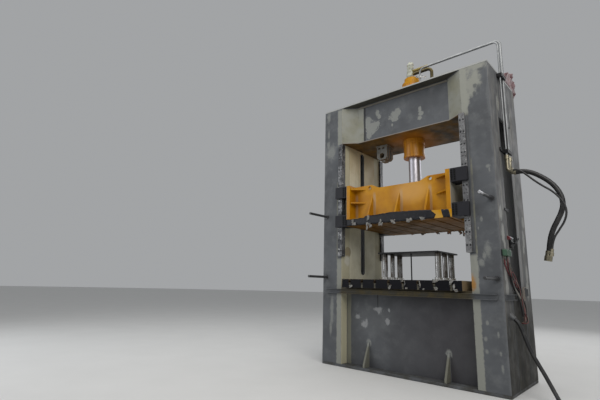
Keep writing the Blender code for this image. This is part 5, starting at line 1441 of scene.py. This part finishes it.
# Black film on the slide plate's front, with its torn end, and the small piece beside it
PLATE_FILM_TOP = [
    (-0.855, 2.268), (-0.671, 2.268), (-0.523, 2.272), (-0.502, 2.296), (-0.294, 2.298),
    (-0.064, 2.312), (0.195, 2.306), (0.484, 2.29), (0.573, 2.281), (0.598, 2.228),
]
PLATE_FILM_FOOT = [
    (-0.855, PLATE_LOW.z), (-0.3, PLATE_LOW.z), (0.4, PLATE_LOW.z), (0.618, PLATE_LOW.z),
    (0.622, 2.19), (0.644, 2.22), (0.612, 2.216),
]
PLATE_PATCH_TOP = [(0.71, 2.272), (0.815, 2.268)]
PLATE_PATCH_FOOT = [(0.74, PLATE_LOW.z), (0.838, PLATE_LOW.z)]
# Pale torn film: x, z, width, height
SLIDE_SCRAPS = [
    (-0.728, 2.235, 0.045, 0.05), (-0.713, 2.19, 0.09, 0.045), (-0.442, 2.262, 0.04, 0.085),
    (-0.466, 2.132, 0.034, 0.12), (-0.411, 2.14, 0.06, 0.085), (-0.224, 2.15, 0.085, 0.055),
    (-0.224, 2.195, 0.034, 0.06), (-0.016, 2.166, 0.075, 0.065), (0.239, 2.166, 0.09, 0.055),
    (0.444, 2.172, 0.075, 0.045),
]
BOLSTER_SCRAPS = [
    (-0.763, 1.222, 0.08, 0.06), (-0.9, 1.33, 0.04, 0.025), (-0.089, 1.222, 0.05, 0.075),
    (0.098, 1.322, 0.06, 0.06), (0.149, 1.285, 0.024, 0.09), (0.172, 1.215, 0.05, 0.03),
    (0.42, 1.21, 0.045, 0.03), (0.372, 1.27, 0.026, 0.12), (0.586, 1.322, 0.095, 0.06),
    (0.6, 1.222, 0.07, 0.06), (0.802, 1.31, 0.06, 0.09), (0.838, 1.245, 0.034, 0.11),
    (0.864, 1.205, 0.055, 0.05),
]


def add_film():
    white = film_white("scrap_film")
    black = black_film()
    for end, along in ((-1, "front"), (1, "rear")):
        shape = Shape()
        stuck_film(shape, PLATE_HIGH.y, end, PLATE_FILM_TOP, PLATE_FILM_FOOT, 3.0)
        stuck_film(shape, PLATE_HIGH.y, end, PLATE_PATCH_TOP, PLATE_PATCH_FOOT, 8.0)
        thicken(shape.done("slide_film_" + along, black, "slide", "primer", smooth=60), 0.0008)
        for name, table, face, body, share in (
            ("slide_scraps_", SLIDE_SCRAPS, PLATE_HIGH.y, "slide", 0.92),
            ("bolster_scraps_", BOLSTER_SCRAPS, BOLSTER_HIGH.y, "frame", 0.70),
        ):
            shape = Shape()
            for index, (x, z, wide, high) in enumerate(table):
                place = (x * -end, end * (face + 0.008), z)
                crumple(shape, place, (wide * share, 0.012, high * share), index + 3)
            thicken(shape.done(name + along, white, body, "primer", smooth=50))


# Small fittings on the right column's outer side; the profiles give radius and height
CABLE_EYE = [(0.0, 0), (0.02, 0), (0.02, 0.004), (0.0, 0.004)]
VALVE_CAP = [(0.0, 0), (0.024, 0), (0.026, 0.004), (0.026, 0.09), (0.02, 0.098), (0.0, 0.098)]
VALVE_UNION = [(0.0, 0), (0.017, 0), (0.017, 0.07), (0.012, 0.074), (0.012, 0.15), (0.0, 0.15)]
BOX_SCREW = (0.006, 0.004)


def fitting(name, material, slot, soften, blocks=(), turned=(), screws=()):
    shape = Shape()
    for place in screws:
        shape.screw(place, (1, 0, 0), *BOX_SCREW)
    for profile, place, direction in turned:
        shape.turned(profile, towards(place, direction), 20)
    for low, high in blocks:
        shape.block(low, high)
    shape.done(name, material, "frame", slot, soften)


def add_side_fittings():
    low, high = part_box("electrical_box")
    raised = SIDE_FACE + 0.006
    black = black_steel("side_fitting_black", (0.008, 0.008, 0.009))
    pale = painted("terminal_pale", (0.24, 0.215, 0.19), (0.13, 0.12, 0.11), 0.6)
    red = painted("knob_red", (0.11, 0.01, 0.014), (0.06, 0.01, 0.012), 0.5)
    zinc = bright_metal("fitting_zinc", (0.42, 0.43, 0.44), 0.36, 0.3)
    grey = black_steel("saddle_grey", (0.03, 0.031, 0.034))
    # Terminal strip under the box, with its cable eye, and the box's gasket and lid screws
    strip = ((SIDE_FACE, low.y + 0.05, low.z - 0.082), (raised, low.y + 0.165, low.z - 0.0006))
    fitting("terminal_strip", pale, "primer", 0.001, [strip])
    gasket = ((SIDE_FACE, low.y - 0.012, low.z + 0.002), (SIDE_FACE + 0.012, low.y - 0.0004, high.z - 0.002))
    clip = ((1.378, -0.338, 2.246), (1.408, -0.19, 2.28))
    eye = (CABLE_EYE, (raised, low.y + 0.108, low.z - 0.04), (1, 0, 0))
    fitting("box_gasket", black, "black_steel", 0.001, [gasket, clip], [eye])
    screws = [(high.x, low.y + along, low.z + up) for along in (0.03, 0.165) for up in (0.014, 0.066)]
    hinge = ((high.x - 0.02, high.y + 0.0004, low.z + 0.01), (high.x - 0.002, high.y + 0.016, high.z - 0.01))
    fitting("box_screws", zinc, "bright_steel", 0.0005, [hinge], screws=screws)
    # Valve: red cap and bright union above its body
    fitting("valve_cap", red, "black_steel", 0.001, turned=[(VALVE_CAP, (1.398, -0.32, 1.893), (0, 1, 0))])
    union = (VALVE_UNION, (1.398, -0.222, 1.901), (0, 1, 0))
    fitting("valve_union", zinc, "bright_steel", 0.0, turned=[union])
    fitting("valve_block", black, "black_steel", 0.004, [((1.376, -0.184, 1.775), (1.41, -0.075, 1.858))])
    # Cable saddle at the window's foot
    upright = ((SIDE_FACE, 0.18, 1.09), (SIDE_FACE + 0.03, 0.188, 1.27))
    shelf = ((SIDE_FACE, 0.188, 1.262), (SIDE_FACE + 0.03, 0.4, 1.27))
    fitting("cable_saddle", pale, "frame_paint", 0.001, [upright, shelf])
    block = ((SIDE_FACE, 0.215, 1.15), (SIDE_FACE + 0.026, 0.38, 1.25))
    fitting("saddle_block", grey, "black_steel", 0.003, [block])


# Printed film heaped on the right column's rear top corner: y and z along its crest
FILM_CREST = [
    (0.15, 4.31), (0.2, 4.43), (0.34, 4.51), (0.43, 4.553), (0.56, 4.6), (0.67, 4.628),
    (0.76, 4.59), (0.81, 4.51), (0.83, 4.4), (0.8, 4.29), (0.74, 4.215),
]
FILM_FOOT_END = 0.64
FILM_REACH = 0.765
FILM_ROWS = 8
FILM_HANG = 0.85


def add_corner_film():
    skin = Surface("corner_film", 0.5, gloss=0.4)
    spots = skin.noise(9.0, 5.0, 0.66, None, 0.8)
    pale = skin.blend(skin.clouds(0.4, 0.62, 4.0, 4.0, 0.6), (0.2, 0.105, 0.112), (0.29, 0.225, 0.225))
    skin.colour = skin.blend(skin.ramp(spots, 0.5, 0.6), pale, (0.085, 0.022, 0.026))
    crest = [(HALF_WIDTH + max(0.0, y - FILM_REACH) * 0.22, min(y, FILM_REACH), z) for y, z in FILM_CREST]
    crest = smooth_route(crest, 0.022)
    start = FILM_CREST[0][0]
    rows = []
    for step, top in enumerate(crest):
        u = step / (len(crest) - 1)
        foot = Vector((HALF_WIDTH, start + (FILM_FOOT_END - start) * u, TOP_HIGH.z + 0.004))
        foot.z -= max(0.0, u - FILM_HANG) * 0.7
        row = []
        for down in range(FILM_ROWS + 1):
            v = down / FILM_ROWS
            place = top.lerp(foot, v)
            fold = noise(Vector((place.y * 8, place.z * 8, 3.0))) * 0.05 + 0.02 * noise(place * 24)
            place.x += fold * (1 - v) * 1.6 - 0.02 * (1 - v)
            row.append(place)
        rows.append(row)
    shape = Shape()
    shape.cover(rows, False)
    material = skin.done(None, spots, 0.003, 0.6)
    thicken(shape.done("corner_film", material, "frame", "primer", smooth=60))


def make_lights():
    world = bpy.data.worlds.new("studio")
    world.use_nodes = True
    background = world.node_tree.nodes["Background"]
    background.inputs["Color"].default_value = (0.86, 0.88, 0.90, 1.0)
    background.inputs["Strength"].default_value = 0.42
    SCENE.world = world
    for name, place, aim, size, power, tint in (
        ("key", (6.5, -6.0, 7.5), (0.5, 0.0, 2.2), 5.0, 380, (1.0, 0.97, 0.93)),
        ("fill", (-6.5, -7.0, 4.5), (0.0, 0.0, 2.0), 6.0, 210, (0.93, 0.96, 1.0)),
        ("top", (0.5, -1.5, 9.0), (0.0, 0.0, 2.0), 7.0, 290, (1.0, 0.98, 0.95)),
        ("back", (1.0, 8.0, 6.0), (0.0, 0.0, 2.5), 6.0, 190, (0.97, 0.98, 1.0)),
    ):
        lamp = bpy.data.lights.new(name, "AREA")
        lamp.shape = "SQUARE"
        lamp.size = size
        lamp.energy = power
        lamp.color = tint
        item = linked(name, lamp)
        item.location = place
        item.rotation_euler = (Vector(aim) - Vector(place)).to_track_quat("-Z", "Y").to_euler()


def make_floor():
    shape = bmesh.new()
    bmesh.ops.create_circle(shape, cap_ends=True, segments=96, radius=60)
    data = bpy.data.meshes.new("floor")
    shape.to_mesh(data)
    shape.free()
    floor = linked("floor", data)
    floor.location.z = -0.0005
    skin = Surface("floor_pale", 0.75)
    skin.colour = skin.blend(skin.noise(1.5, 3.0), (0.60, 0.60, 0.59), (0.66, 0.66, 0.65))
    data.materials.append(skin.done())


make_camera()
make_cords()
dress_frame()
dress_slide()
dress_hydraulics()
add_shoe_screws()
add_cylinder_fasteners()
add_frame_welds()
add_slide_welds()
add_film()
add_lug_rings()
add_side_fittings()
add_corner_film()
add_port_wrap()
make_lights()
make_floor()
SCENE.view_settings.view_transform = "Standard"
